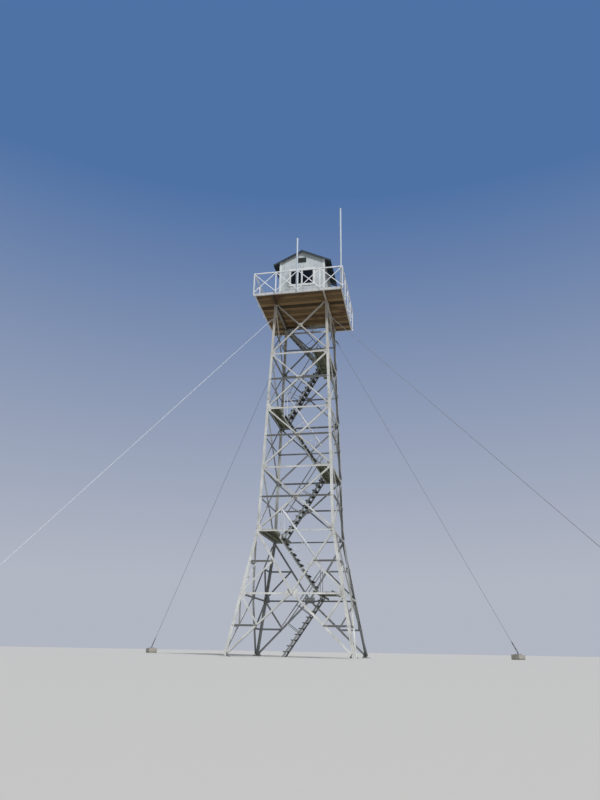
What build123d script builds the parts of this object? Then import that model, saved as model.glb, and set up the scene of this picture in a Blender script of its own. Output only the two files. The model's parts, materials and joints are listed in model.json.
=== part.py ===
from build123d import *
from math import atan2, cos, degrees, hypot, radians, sin
import os

# A guyed lattice lookout tower, millimetres, +Z up, the front looks along -Y.
# The origin is on the ground, at the tower's centre.

# Legs, as half the width of the tower over their outer corners
BASE_HALF = 2570
KINK_HALF = 1670
TOP_HALF = 1320
KINK_Z = 5000
LEG_TOP_Z = 16180
LEG_WIDTH = 120
LEG_WALL = 10
BASE_PLATE = 360
BASE_PLATE_T = 25
BOLT_HOLE = 26
BOLT_SPACING = 260

# Bracing angles
RING_Z = 2420
PANELS = 4
CHORD = 75
DIAGONAL = 70
MAIN_DIAGONAL = 90
BRACE_WALL = 6
BRACE_FLANGE = 60
LEG_EDGE = 25
COPE = 130
GUSSET_W = 230
GUSSET_H = 260
SPLICE_SLIT = 1
LEG_FIT = 0.3

# Landings and flights
LANDING_T = 45
LANDING_EDGE = 850
TOP_LANDING_EDGE = 650
LANDING_CLEAR = 20
LANDING_BEAM = 80
LANDING_BEAM_W = 50
FIRST_LANDING_W = 800
FIRST_LANDING_HALF = 950
LANE = 550
FLIGHT_W = 620
STRINGER = 170
STRINGER_T = 8
TREAD_GOING = 200
TREAD_NOSE = 20
TREAD_LIP = 35
TREAD_WALL = 5
TREAD_RISE = 230
TREAD_GAP = 0.3
RAIL_RISE = 1100
RAIL_BAR = 40
FOOT_SET_IN = 110

# Platform
PLATFORM_HALF = 2150
JOIST_DEPTH = 100
JOIST_W = 70
JOIST_SET_IN = 30
PLANK_T = 50
PLANK_W = 280
PLANK_GAP = 6
EDGE_H = 118
EDGE_FLANGE = 60
EDGE_T = 8
HATCH_FRONT = 1280
HATCH_RIGHT = 800
TOP_FLIGHT_W = 560
TOP_FLIGHT_IN = 1480

# Railing
RAIL_H = 1180
RAIL_BAYS = 4
POST = 50
CROSS_BAR = 40
CROSS_T = 6
CROSS_LIFT = 20

# Cabin
CABIN_HALF = 1150
WALL_T = 80
WALL_H = 2370
APEX_H = 2940
EAVE = 330
ROOF_T = 35
ROOF_FRONT = 110
ROOF_REAR = 60
WINDOW_HALF = 585
WINDOW_SILL = 1010
WINDOW_H = 830
FRAME_W = 90
FRAME_OUT = 20
LINING_T = 36
LINING_DEPTH = 50
LINING_FIT = 0.3
MULLION = 90
GLASS_T = 6
DOOR_W = 760
DOOR_H = 1900
DOOR_T = 45

# Masts
MAST_R = 42
CORNER_MAST_H = 4630
FRONT_MAST_H = 3080
FRONT_MAST_X = -70

# Guys and their anchors
GUY_Z = 15300
GUY_GROUND_LONG = 11550
GUY_GROUND_SHORT = 9930
ROPE_R = 10
ROPE_STRANDS = 6
LUG_OUT = 150
LUG_H = 150
LUG_T = 12
PIN_R = 11
PIN_FACETS = 12
PIN_HEAD_R = 19
PIN_HEAD_T = 14
PIN_CLEAR = 0.5
PIN_EDGE = 35
PIN_RISE = 70
JAW_T = 8
JAW_W = 60
JAW_L = 130
TURNBUCKLE_L = 520
TURNBUCKLE_W = 76
TURNBUCKLE_BAR = 18
BLOCK = 520
BLOCK_H = 260
ANCHOR_PLATE = 260
ANCHOR_PLATE_T = 20

DECK_UNDER = LEG_TOP_Z + JOIST_DEPTH
DECK_TOP = DECK_UNDER + PLANK_T


def half_at(z):
    """Half the width of the tower over the legs at height z."""
    if z <= KINK_Z:
        return BASE_HALF + (KINK_HALF - BASE_HALF) * z / KINK_Z
    return KINK_HALF + (TOP_HALF - KINK_HALF) * (z - KINK_Z) / (LEG_TOP_Z - KINK_Z)


PANEL_H = (DECK_UNDER - KINK_Z) / PANELS
LANDING_Z = [RING_Z] + [KINK_Z + PANEL_H * i for i in range(PANELS)]


def box(x0, x1, y0, y1, z0, z1):
    """A block between two corners."""
    return Pos((x0 + x1) / 2, (y0 + y1) / 2, (z0 + z1) / 2) * Box(x1 - x0, y1 - y0, z1 - z0)


def save(name, shape):
    """Write one sub-part."""
    export_step(shape, f"parts/{name}.step")


def bundle(solids):
    """Several solids of one sub-part that stand apart."""
    return Compound(children=list(solids))


def strip(a, b, width, shift=0.0):
    """A flat bar from a to b, its centre line moved sideways by shift."""
    length = hypot(b[0] - a[0], b[1] - a[1])
    turn = degrees(atan2(b[1] - a[1], b[0] - a[0]))
    middle = Pos((a[0] + b[0]) / 2, (a[1] + b[1]) / 2)
    return middle * Rot(0, 0, turn) * Pos(0, shift) * Rectangle(length, width)


class Side:
    """The front side of one stage of the tower, drawn flat in its own leaning plane."""

    def __init__(self, z_low, z_high):
        self.z_low, self.z_high = z_low, z_high
        lean = half_at(z_low) - half_at(z_high)
        self.stretch = hypot(z_high - z_low, lean) / (z_high - z_low)
        self.plane = Plane(origin=(0, -half_at(z_low), z_low), x_dir=(1, 0, 0),
                           z_dir=(0, -(z_high - z_low), lean))
        self.skin = LEG_WALL / self.stretch
        self.flat, self.inner, self.outer = [], [], []

    def at(self, x, z):
        """A point of the side, from its height above the ground."""
        return (x, (z - self.z_low) * self.stretch)

    def leg(self, z, sign=1):
        """The leg's outer edge at height z."""
        return self.at(sign * half_at(z), z)

    def bar(self, a, b, width, flange=None, edge=1):
        """An angle: one flange flat in the side, the other standing on its edge."""
        self.flat.append(strip(a, b, width))
        if flange is not None:
            flange.append(strip(a, b, BRACE_WALL, edge * (width - BRACE_WALL) / 2))

    def chord(self, z, x0, x1, flange):
        """A level angle with its top at height z, its other flange along the top edge."""
        a, b = self.at(x0, z), self.at(x1, z)
        low = (a[0], a[1] - CHORD / 2), (b[0], b[1] - CHORD / 2)
        self.bar(low[0], low[1], CHORD, flange, 1)

    def gusset(self, x, z, width=GUSSET_W, height=GUSSET_H):
        """A plate where bars meet."""
        self.flat.append(Pos(*self.at(x, z)) * Rectangle(width, height))

    def field(self, inset, z0, z1, x_low=None):
        """The outline inside the legs, inset from their outer edges."""
        right = [(half_at(z0) - inset, z0), (half_at(z1) - inset, z1)]
        if x_low is None:
            left = [(-half_at(z1) + inset, z1), (-half_at(z0) + inset, z0)]
        else:
            left = [(x_low, z1), (x_low, z0)]
        return Polygon(*[self.at(x, z) for x, z in right + left], align=None)

    def solid(self, z0, z1, x_low=None):
        """The bars cut to the legs and joined into one lattice."""
        edge = self.field(LEG_EDGE, z0, z1, x_low)
        coped = self.field(COPE, z0, z1, x_low)
        sheet = (Sketch() + self.flat) & edge
        lattice = Pos(0, 0, -self.skin - BRACE_WALL) * extrude(sheet, BRACE_WALL)
        if self.inner:
            fins = (Sketch() + self.inner) & coped
            lattice += Pos(0, 0, -self.skin - BRACE_FLANGE) * extrude(fins, BRACE_FLANGE)
        if self.outer:
            fins = (Sketch() + self.outer) & coped
            lattice += Pos(0, 0, -self.skin - BRACE_WALL) * extrude(fins, BRACE_FLANGE)
        return self.plane * lattice


def lower_half():
    """Right half of the lower bracing: a leg of the portal, and above it a leg of the V."""
    side = Side(0, KINK_Z)
    centre = side.at(0, RING_Z)
    low_mid, high_mid = RING_Z * 0.49, (RING_Z + KINK_Z) / 2
    portal_x = BASE_HALF * (RING_Z - low_mid) / RING_Z
    vee_x = KINK_HALF * (high_mid - RING_Z) / (KINK_Z - RING_Z)
    side.bar(side.leg(0), centre, MAIN_DIAGONAL, side.outer, 1)
    side.bar(centre, side.leg(KINK_Z), MAIN_DIAGONAL, side.outer, -1)
    side.chord(RING_Z, 0, half_at(RING_Z), side.inner)
    side.chord(low_mid, portal_x, half_at(low_mid), side.outer)
    side.chord(high_mid, vee_x, half_at(high_mid), side.outer)
    side.bar(side.leg(RING_Z), side.at(portal_x, low_mid), DIAGONAL, side.inner, 1)
    side.bar(side.leg(RING_Z), side.at(vee_x, high_mid), DIAGONAL, side.inner, -1)
    side.gusset(half_at(RING_Z) - GUSSET_W / 2, RING_Z)
    side.gusset(0, RING_Z, 2 * GUSSET_W, GUSSET_H)
    return side.solid(BASE_PLATE_T + 40, KINK_Z - 60, SPLICE_SLIT / 2)


def upper_side(top_bars):
    """Crossed panels with a level angle at each panel point and each crossing.

    top_bars tells whether the top panel has level angles of its own; the front's has none.
    """
    side = Side(KINK_Z, LEG_TOP_Z)
    for i in range(PANELS):
        z0 = KINK_Z + PANEL_H * i
        z1 = z0 + PANEL_H
        cross = z0 + PANEL_H * half_at(z0) / (half_at(z0) + half_at(z1))
        side.bar(side.leg(z0, -1), side.leg(z1, 1), DIAGONAL, side.inner, -1)
        side.bar(side.leg(z0, 1), side.leg(z1, -1), DIAGONAL, side.outer, 1)
        side.chord(z0, -half_at(z0), half_at(z0), side.inner)
        if top_bars or i < PANELS - 1:
            side.chord(cross + CHORD / 2, -half_at(cross), half_at(cross), side.outer)
        side.gusset(0, cross, GUSSET_W, GUSSET_W)
        for sign in (-1, 1):
            side.gusset(sign * (half_at(z0) - GUSSET_W / 2), z0)
    top = LEG_TOP_Z - LEG_WALL
    if top_bars:
        side.chord(top, -half_at(top), half_at(top), side.inner)
    return side.solid(KINK_Z - 55 + 1, top)


def leg():
    """The front right leg: a lower angle on its base plate, and on it an upper one with the guy's lug."""
    def angle(z0, z1):
        x, y = half_at(z0), -half_at(z0)
        way = Vector(half_at(z1) - x, -half_at(z1) - y, z1 - z0)
        w, t = LEG_WIDTH, LEG_WALL
        outline = Polygon((x, y), (x, y + w), (x - t, y + w), (x - t, y + t), (x - w, y + t), (x - w, y),
                          align=None)
        return extrude(Pos(0, 0, z0) * outline, amount=way.length, dir=way)

    foot = half_at(0) - LEG_WIDTH / 2
    plate = Pos(foot, -foot, BASE_PLATE_T / 2) * Box(BASE_PLATE, BASE_PLATE, BASE_PLATE_T)
    holes = GridLocations(BOLT_SPACING, BOLT_SPACING, 2, 1)
    plate -= Pos(foot, -foot, BASE_PLATE_T / 2) * holes * Cylinder(BOLT_HOLE / 2, 2 * BASE_PLATE_T)
    return bundle([angle(0, KINK_Z) + plate, angle(KINK_Z + LEG_FIT, LEG_TOP_Z) + lug()])


def guy_frame():
    """The upright plane through the front right guy: x outward along the ground, y up."""
    return Plane(origin=(0, 0, 0), x_dir=(1, -1, 0), z_dir=(-1, -1, 0))


LUG_OUTER = half_at(GUY_Z) * 2 ** 0.5 + LUG_OUT
GUY_TOP = (LUG_OUTER - PIN_EDGE, GUY_Z - PIN_EDGE)


def guy_foot(ground):
    """The lower pin of a guy whose anchor is ground away from the tower's axis along X and Y."""
    return ground * 2 ** 0.5, BLOCK_H + ANCHOR_PLATE_T + PIN_RISE


def pin_hole():
    """The outline of a hole for a guy's pin."""
    return RegularPolygon(PIN_R + PIN_CLEAR, PIN_FACETS)


def lug():
    """The plate on the leg's corner that takes the guy's upper pin."""
    corner = half_at(GUY_Z) * 2 ** 0.5
    outline = Polygon((corner - 8, GUY_Z - LUG_H / 2), (LUG_OUTER - 40, GUY_Z - LUG_H / 2),
                      (LUG_OUTER, GUY_Z - LUG_H / 2 + 20), (LUG_OUTER, GUY_Z), (corner - 8, GUY_Z + LUG_H / 2),
                      align=None)
    outline -= Pos(*GUY_TOP) * pin_hole()
    return guy_frame() * Pos(0, 0, -LUG_T / 2) * extrude(outline, LUG_T)


def guy(ground):
    """A taut wire rope with a bolted jaw at each end and a turnbuckle at the foot, drawn along X."""
    foot = guy_foot(ground)
    span = hypot(foot[0] - GUY_TOP[0], foot[1] - GUY_TOP[1])
    turn = degrees(atan2(foot[1] - GUY_TOP[1], foot[0] - GUY_TOP[0]))
    half_gap = LUG_T / 2 + PIN_CLEAR
    jaws = []
    for x0, x1, pin in ((-JAW_W / 2, JAW_L, 0), (span - JAW_L, span + JAW_W / 2, span)):
        for sign in (-1, 1):
            y = sign * (half_gap + JAW_T / 2)
            jaws.append(Pos((x0 + x1) / 2, y, 0) * Box(x1 - x0, JAW_T, JAW_W))
            head = Pos(pin, sign * (half_gap + JAW_T), 0) * Rot(-90 * sign, 0, 0)
            jaws.append(head * extrude(RegularPolygon(PIN_HEAD_R, 6), PIN_HEAD_T))
        shank = Pos(pin, -half_gap - JAW_T / 2, 0) * Rot(-90, 0, 0)
        jaws.append(shank * extrude(RegularPolygon(PIN_R, PIN_FACETS), 2 * half_gap + JAW_T))
    web = 40
    jaws.append(Pos(JAW_L - web / 2, 0, 0) * Box(web, 2 * half_gap, JAW_W))
    jaws.append(Pos(span - JAW_L + web / 2, 0, 0) * Box(web, 2 * half_gap, JAW_W))
    rope_end = span - JAW_L - TURNBUCKLE_L
    rope = Pos(JAW_L, 0, 0) * Rot(0, 90, 0) * extrude(RegularPolygon(ROPE_R, ROPE_STRANDS), rope_end - JAW_L)
    buckle = Pos(rope_end + TURNBUCKLE_L / 2, 0, 0) * Box(TURNBUCKLE_L, TURNBUCKLE_BAR + 6, TURNBUCKLE_W)
    window = TURNBUCKLE_L - 2 * 50
    buckle -= Pos(rope_end + TURNBUCKLE_L / 2, 0, 0) * Box(window, 40, TURNBUCKLE_W - 2 * TURNBUCKLE_BAR)
    body = rope + buckle + jaws
    return guy_frame() * Pos(*GUY_TOP) * Rot(0, 0, turn) * Rot(90, 0, 0) * body


def anchor_plate(ground):
    """The plate and lug that hold a guy's foot."""
    x, y = guy_foot(ground)
    base = Pos(x, BLOCK_H + ANCHOR_PLATE_T / 2, 0) * Box(ANCHOR_PLATE, ANCHOR_PLATE_T, ANCHOR_PLATE)
    top = BLOCK_H + ANCHOR_PLATE_T
    outline = Polygon((x - 60, top), (x + 60, top), (x + PIN_EDGE, y + PIN_EDGE), (x - PIN_EDGE, y + PIN_EDGE),
                      align=None)
    outline -= Pos(x, y) * pin_hole()
    ear = Pos(0, 0, -LUG_T / 2) * extrude(outline, LUG_T)
    return guy_frame() * (base + ear)


def anchor_block(ground):
    """The concrete block of an anchor, its upper edges bevelled."""
    block = Box(BLOCK, BLOCK_H, BLOCK)
    block = chamfer(block.faces().sort_by(Axis.Y)[-1].edges(), 20)
    return guy_frame() * Pos(guy_foot(ground)[0], BLOCK_H / 2, 0) * block


def landing(level, side, edge):
    """A landing on the side's level angles, with a beam under its inner edge and one midway."""
    outer = half_at(level + LANDING_T) - LANDING_CLEAR
    slab = box(edge, outer, -outer, outer, level, level + LANDING_T)
    run = half_at(level) - LEG_WALL - BRACE_FLANGE - 25
    for x in (edge, (edge + outer) / 2):
        slab += box(x, x + LANDING_BEAM_W, -run, run, level - LANDING_BEAM, level)
    if side < 0:
        slab = mirror(slab, Plane.YZ)
    return slab


def first_landing():
    """The lowest landing, a short floor on two beams laid from the front ring to the rear one."""
    beam_top = RING_Z + LANDING_BEAM
    edge, outer = LANDING_EDGE, LANDING_EDGE + FIRST_LANDING_W
    floor = box(edge, outer, -FIRST_LANDING_HALF, FIRST_LANDING_HALF, beam_top, beam_top + LANDING_T)
    run = half_at(beam_top) - LANDING_CLEAR
    for x in (edge, outer - LANDING_BEAM_W):
        floor += box(x, x + LANDING_BEAM_W, -run, run, RING_Z, beam_top)
    return floor


def top_landing():
    """The last landing, carried on past the rear side under the foot of the last flight."""
    level = LANDING_Z[4]
    slab = landing(level, 1, TOP_LANDING_EDGE)
    rear = TOP_FLIGHT_IN + TOP_FLIGHT_W
    reach = half_at(level) - GUSSET_W - 15
    return slab + box(TOP_LANDING_EDGE, reach, 1000, rear, level, level + LANDING_T)


def flight(foot, head, y_in, y_out, rails):
    """One flight: two side frames and its treads; foot and head are (x, z)."""
    going = 1 if head[0] > foot[0] else -1
    pitch = atan2(head[1] - foot[1], abs(head[0] - foot[0]))
    over = STRINGER / cos(pitch)
    reach = 400 * cos(pitch), 400 * sin(pitch)
    a = (foot[0] - going * reach[0], foot[1] - reach[1] - over * 0.28)
    b = (head[0] + going * reach[0], head[1] + reach[1] - over * 0.28)
    middle = ((foot[0] + head[0]) / 2, (foot[1] + head[1]) / 2)
    limit = Pos(head[0] - going * 2500, (foot[1] + head[1]) / 2) * Rectangle(5000, head[1] - foot[1])
    profile = strip(a, b, STRINGER) & limit
    rise = head[1] - foot[1]

    def on_pitch(x):
        return foot[1] + rise * (x - foot[0]) / (head[0] - foot[0])

    def rail_profile():
        x0, x1 = foot[0] + going * 60, head[0] - going * 60
        rail = [strip((x0, on_pitch(x0) + RAIL_RISE), (x1, on_pitch(x1) + RAIL_RISE), RAIL_BAR)]
        for x in (x0 + going * 40, (x0 + x1) / 2, x1 - going * 40):
            low, high = on_pitch(x) - 60, on_pitch(x) + RAIL_RISE
            rail.append(Pos(x, (low + high) / 2) * Rectangle(RAIL_BAR, high - low))
        return Sketch() + rail

    upright = Plane(origin=(0, 0, 0), x_dir=(1, 0, 0), z_dir=(0, -1, 0))
    solids = []
    for y, sign in ((y_in, -1), (y_out, 1)):
        plate_y = y if sign < 0 else y - STRINGER_T
        frame = upright * Pos(0, 0, -plate_y - STRINGER_T) * extrude(profile, STRINGER_T)
        if sign in rails:
            rail_y = y - RAIL_BAR if sign < 0 else y
            frame += upright * Pos(0, 0, -rail_y - RAIL_BAR) * extrude(rail_profile(), RAIL_BAR)
        solids.append(frame)
    count = round(rise / TREAD_RISE) - 1
    for i in range(1, count + 1):
        z = foot[1] + rise * i / (count + 1)
        x = foot[0] + (head[0] - foot[0]) * i / (count + 1)
        front, back = x - going * TREAD_NOSE, x + going * (TREAD_GOING - TREAD_NOSE)
        y0, y1 = y_in + STRINGER_T + TREAD_GAP, y_out - STRINGER_T - TREAD_GAP
        x0, x1 = sorted((front, back))
        lip = sorted((front, front + going * TREAD_WALL))
        solids.append(box(x0, x1, y0, y1, z - TREAD_WALL, z) + box(*lip, y0, y1, z - TREAD_LIP, z))
    return bundle(solids)


def platform_joists():
    """Two joists on the legs' tops, a cross beam and a trimmer beside the hatch."""
    inner = TOP_HALF - JOIST_SET_IN - JOIST_W
    outer = inner + JOIST_W
    end = PLATFORM_HALF - EDGE_T
    notch = PLATFORM_HALF - EDGE_FLANGE
    solids = []
    for sign in (-1, 1):
        x0, x1 = sorted((sign * inner, sign * outer))
        joist = box(x0, x1, -end, end, LEG_TOP_Z, DECK_UNDER)
        for back in (-1, 1):
            y0, y1 = sorted((back * notch, back * (end + 10)))
            joist -= box(x0 - 1, x1 + 1, y0, y1, DECK_UNDER - EDGE_T, DECK_UNDER + 1)
        solids.append(joist)
    gap = TREAD_GAP
    cross_y = HATCH_FRONT - JOIST_W
    solids.append(box(-inner + gap, inner - gap, cross_y, HATCH_FRONT, LEG_TOP_Z, DECK_UNDER))
    trimmer = box(HATCH_RIGHT, HATCH_RIGHT + JOIST_W, HATCH_FRONT + gap, end, LEG_TOP_Z, DECK_UNDER)
    trimmer -= box(HATCH_RIGHT - 1, HATCH_RIGHT + JOIST_W + 1, notch, end + 10,
                   DECK_UNDER - EDGE_T, DECK_UNDER + 1)
    solids.append(trimmer)
    return bundle(solids)


def platform_edges():
    """Angles round the platform: a standing flange outside, a flange under the planks."""
    z0 = DECK_UNDER - EDGE_T
    h, f, t = PLATFORM_HALF, EDGE_FLANGE, EDGE_T
    solids = []
    for turn, end in ((0, h), (180, h), (90, h - f - TREAD_GAP), (270, h - f - TREAD_GAP)):
        angle = box(-end, end, -h, -h + f, z0, z0 + t) + box(-end, end, -h, -h + t, z0, z0 + EDGE_H)
        if turn in (0, 180):
            for sign in (-1, 1):
                x0, x1 = sorted((sign * (h - t), sign * h))
                angle += box(x0, x1, -h, -h + f, z0, z0 + EDGE_H)
        solids.append(Rot(0, 0, turn) * angle)
    return bundle(solids)


def deck_planks():
    """Planks laid across the joists, cut short beside the hatch."""
    end = PLATFORM_HALF - EDGE_T - PLANK_GAP
    solids = []

    def course(y0, y1, x0, x1):
        count = round((y1 - y0) / PLANK_W)
        width = (y1 - y0) / count
        for i in range(count):
            y = y0 + width * i
            solids.append(box(x0, x1, y, y + width - PLANK_GAP, DECK_UNDER, DECK_TOP))

    course(-end, HATCH_FRONT, -end, end)
    hatch_left = TOP_HALF - JOIST_SET_IN - JOIST_W
    course(HATCH_FRONT, end, -end, -hatch_left)
    course(HATCH_FRONT, end, HATCH_RIGHT, end)
    return bundle(solids)


def railing(corners):
    """The front railing outside the edge angle: posts, a top rail and crossed bars.

    corners tells whether it has the two corner posts; the side railings end against them.
    """
    face = PLATFORM_HALF
    bottom, top = DECK_UNDER - EDGE_T, DECK_TOP + RAIL_H
    low = bottom + EDGE_H + CROSS_LIFT
    step = (2 * face + POST) / RAIL_BAYS
    centres = [-face - POST / 2 + step * i for i in range(RAIL_BAYS + 1)]
    upright = Plane(origin=(0, -face, 0), x_dir=(1, 0, 0), z_dir=(0, -1, 0))
    own = centres if corners else centres[1:-1]
    end = face + POST if corners else face - TREAD_GAP
    posts = [Pos(x, (bottom + top) / 2) * Rectangle(POST, top - bottom) for x in own]
    rail = Pos(0, top - POST / 2) * Rectangle(2 * end, POST)
    frame = extrude(Sketch() + posts + [rail], POST)
    bars = []
    for x0, x1 in zip(centres, centres[1:]):
        bars.append(strip((x0, low), (x1, top - POST), CROSS_BAR))
        bars.append(strip((x0, top - POST), (x1, low), CROSS_BAR))
    field = Pos(0, (low + top) / 2) * Rectangle(2 * (face + POST), top - low)
    crossed = Pos(0, 0, POST) * extrude((Sketch() + bars) & field, CROSS_T)
    return upright * (frame + crossed)


def gable(half, z0, z_eave, z_apex, y0, y1):
    """A gable wall between two depths."""
    outline = Polygon((-half, z0), (half, z0), (half, z_eave), (0, z_apex), (-half, z_eave), align=None)
    upright = Plane(origin=(0, 0, 0), x_dir=(1, 0, 0), z_dir=(0, -1, 0))
    return upright * Pos(0, 0, -y1) * extrude(outline, y1 - y0)


EAVE_Z = DECK_TOP + WALL_H
APEX_Z = DECK_TOP + APEX_H
SLOPE = (APEX_Z - EAVE_Z) / CABIN_HALF


def cabin_front():
    """The front gable wall with its window cut through."""
    wall = gable(CABIN_HALF, DECK_TOP, EAVE_Z, APEX_Z, -CABIN_HALF, -CABIN_HALF + WALL_T)
    z0 = DECK_TOP + WINDOW_SILL
    return wall - box(-WINDOW_HALF, WINDOW_HALF, -CABIN_HALF - 10, 0, z0, z0 + WINDOW_H)


def cabin_rear():
    """The rear gable wall with its doorway."""
    wall = gable(CABIN_HALF, DECK_TOP, EAVE_Z, APEX_Z, CABIN_HALF - WALL_T, CABIN_HALF)
    return wall - box(-DOOR_W / 2, DOOR_W / 2, 0, CABIN_HALF + 10, DECK_TOP - 10, DECK_TOP + DOOR_H)


def cabin_side():
    """The right wall, between the gables, its top cut to the roof's slope."""
    wall = gable(CABIN_HALF, DECK_TOP, EAVE_Z, APEX_Z, -CABIN_HALF + WALL_T, CABIN_HALF - WALL_T)
    return wall & box(CABIN_HALF - WALL_T, CABIN_HALF, -CABIN_HALF, CABIN_HALF, DECK_TOP, APEX_Z)


def cabin_door():
    """The closed door in the rear wall."""
    gap = 3
    inner = CABIN_HALF - WALL_T
    leaf = box(-DOOR_W / 2 + gap, DOOR_W / 2 - gap, inner, inner + DOOR_T, DECK_TOP, DECK_TOP + DOOR_H - gap)
    return leaf


def roof_slope():
    """The right roof slope."""
    drop = SLOPE * (CABIN_HALF + EAVE)
    x1 = CABIN_HALF + EAVE
    outline = Polygon((0, APEX_Z), (x1, APEX_Z - drop), (x1, APEX_Z - drop + ROOF_T),
                      (0, APEX_Z + ROOF_T * 1.12), align=None)
    upright = Plane(origin=(0, 0, 0), x_dir=(1, 0, 0), z_dir=(0, -1, 0))
    depth = 2 * CABIN_HALF + ROOF_FRONT + ROOF_REAR
    return upright * Pos(0, 0, -CABIN_HALF - ROOF_REAR) * extrude(outline, depth)


def window():
    """The front window's frame with its middle post."""
    z0 = DECK_TOP + WINDOW_SILL
    face = -CABIN_HALF
    w, h = WINDOW_HALF, WINDOW_H
    fit, inner, deep = LINING_FIT, LINING_T, face + LINING_DEPTH
    frame = box(-w - FRAME_W, w + FRAME_W, face - FRAME_OUT, face, z0 - FRAME_W, z0 + h + FRAME_W)
    frame += box(-w + fit, w - fit, face - FRAME_OUT, deep, z0 + fit, z0 + h - fit)
    frame -= box(-w + inner, w - inner, face - FRAME_OUT - 1, deep + 1, z0 + inner, z0 + h - inner)
    post = box(-MULLION / 2, MULLION / 2, face - FRAME_OUT, deep, z0 + inner, z0 + h - inner)
    return frame + post


def window_glass():
    """The window's two panes."""
    z0 = DECK_TOP + WINDOW_SILL
    y0 = -CABIN_HALF + 20
    panes = []
    rim = LINING_T + LINING_FIT
    for sign in (-1, 1):
        x0, x1 = sorted((sign * (MULLION / 2 + LINING_FIT), sign * (WINDOW_HALF - rim)))
        panes.append(box(x0, x1, y0, y0 + GLASS_T, z0 + rim, z0 + WINDOW_H - rim))
    return bundle(panes)


def mast(x, height):
    """A closed tube, standing on the deck inside the railing."""
    y = -PLATFORM_HALF + EDGE_T + MAST_R
    return Pos(x, y, DECK_TOP + height / 2) * Cylinder(MAST_R, height)


os.makedirs("parts", exist_ok=True)

CORNERS = {"front_right": 0, "rear_right": 90, "rear_left": 180, "front_left": 270}
SIDES = {"front": 0, "right": 90, "rear": 180, "left": 270}

one_leg = leg()
plates, blocks = [], []
for i, (corner, turn) in enumerate(CORNERS.items()):
    ground = GUY_GROUND_SHORT if i % 2 else GUY_GROUND_LONG
    save(f"leg_{corner}", Rot(0, 0, turn) * one_leg)
    save(f"guy_{corner}", Rot(0, 0, turn) * guy(ground))
    plates.append(Rot(0, 0, turn) * anchor_plate(ground))
    blocks.append(Rot(0, 0, turn) * anchor_block(ground))
save("anchor_plates", bundle(plates))
save("anchor_blocks", bundle(blocks))

half = lower_half()
other_half = mirror(half, Plane.YZ)
upper, upper_front = upper_side(True), upper_side(False)
for side_name, turn in SIDES.items():
    save(f"lower_bracing_{side_name}", bundle([Rot(0, 0, turn) * half, Rot(0, 0, turn) * other_half]))
    save(f"upper_bracing_{side_name}", Rot(0, 0, turn) * (upper_front if side_name == "front" else upper))
    save(f"railing_{side_name}", Rot(0, 0, turn) * railing(side_name in ("front", "rear")))

# Landings and flights change sides and lanes on the way up
save("landing_1", first_landing())
for i in (1, 2, 3):
    save(f"landing_{i + 1}", landing(LANDING_Z[i], 1 if i % 2 == 0 else -1, LANDING_EDGE))
save("landing_5", top_landing())

floors = [0] + [z + LANDING_T for z in LANDING_Z]
floors[1] += LANDING_BEAM
for i in range(5):
    going = 1 if i % 2 == 0 else -1
    edge = TOP_LANDING_EDGE if i == 4 else LANDING_EDGE
    start = (-going * (LANDING_EDGE + FOOT_SET_IN), floors[i])
    lane = going * LANE
    save(f"stair_flight_{i + 1}", flight(start, (going * edge, floors[i + 1]),
                                         lane - FLIGHT_W / 2, lane + FLIGHT_W / 2, (-1, 1)))
hatch_left = TOP_HALF - JOIST_SET_IN - JOIST_W
save("stair_flight_6", flight((1050, floors[5]), (-hatch_left, DECK_TOP),
                              TOP_FLIGHT_IN, TOP_FLIGHT_IN + TOP_FLIGHT_W, (1,)))

save("platform_joists", platform_joists())
save("platform_edges", platform_edges())
save("deck_planks", deck_planks())

save("cabin_wall_front", cabin_front())
save("cabin_wall_rear", cabin_rear())
save("cabin_wall_right", cabin_side())
save("cabin_wall_left", mirror(cabin_side(), Plane.YZ))
save("cabin_door", cabin_door())
save("roof_right", roof_slope())
save("roof_left", mirror(roof_slope(), Plane.YZ))
save("window_frame", window())
save("window_glass", window_glass())
save("corner_mast", mast(PLATFORM_HALF - EDGE_T - MAST_R, CORNER_MAST_H))
save("front_mast", mast(FRONT_MAST_X, FRONT_MAST_H))
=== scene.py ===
import json
import math
import random

import bpy
from mathutils import Matrix, Vector

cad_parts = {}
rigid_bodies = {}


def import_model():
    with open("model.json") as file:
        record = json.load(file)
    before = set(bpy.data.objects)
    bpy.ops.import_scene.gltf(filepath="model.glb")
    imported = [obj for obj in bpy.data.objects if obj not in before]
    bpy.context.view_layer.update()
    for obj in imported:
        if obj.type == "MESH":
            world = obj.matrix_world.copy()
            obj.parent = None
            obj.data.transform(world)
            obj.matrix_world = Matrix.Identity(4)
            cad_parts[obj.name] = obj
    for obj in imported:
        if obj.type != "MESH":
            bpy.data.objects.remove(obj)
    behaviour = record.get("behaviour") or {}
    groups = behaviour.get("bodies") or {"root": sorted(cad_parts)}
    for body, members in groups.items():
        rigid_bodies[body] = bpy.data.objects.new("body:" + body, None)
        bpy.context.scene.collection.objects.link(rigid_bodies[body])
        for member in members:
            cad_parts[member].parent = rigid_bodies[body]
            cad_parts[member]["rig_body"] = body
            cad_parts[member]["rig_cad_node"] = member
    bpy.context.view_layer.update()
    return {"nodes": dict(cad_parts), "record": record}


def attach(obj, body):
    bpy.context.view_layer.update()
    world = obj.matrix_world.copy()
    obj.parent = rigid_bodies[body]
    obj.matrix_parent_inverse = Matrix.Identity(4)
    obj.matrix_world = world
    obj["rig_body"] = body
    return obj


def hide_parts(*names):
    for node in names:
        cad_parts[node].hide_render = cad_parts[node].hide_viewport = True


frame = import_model()
bpy.ops.object.select_all(action="DESELECT")
random.seed(7)

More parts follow.
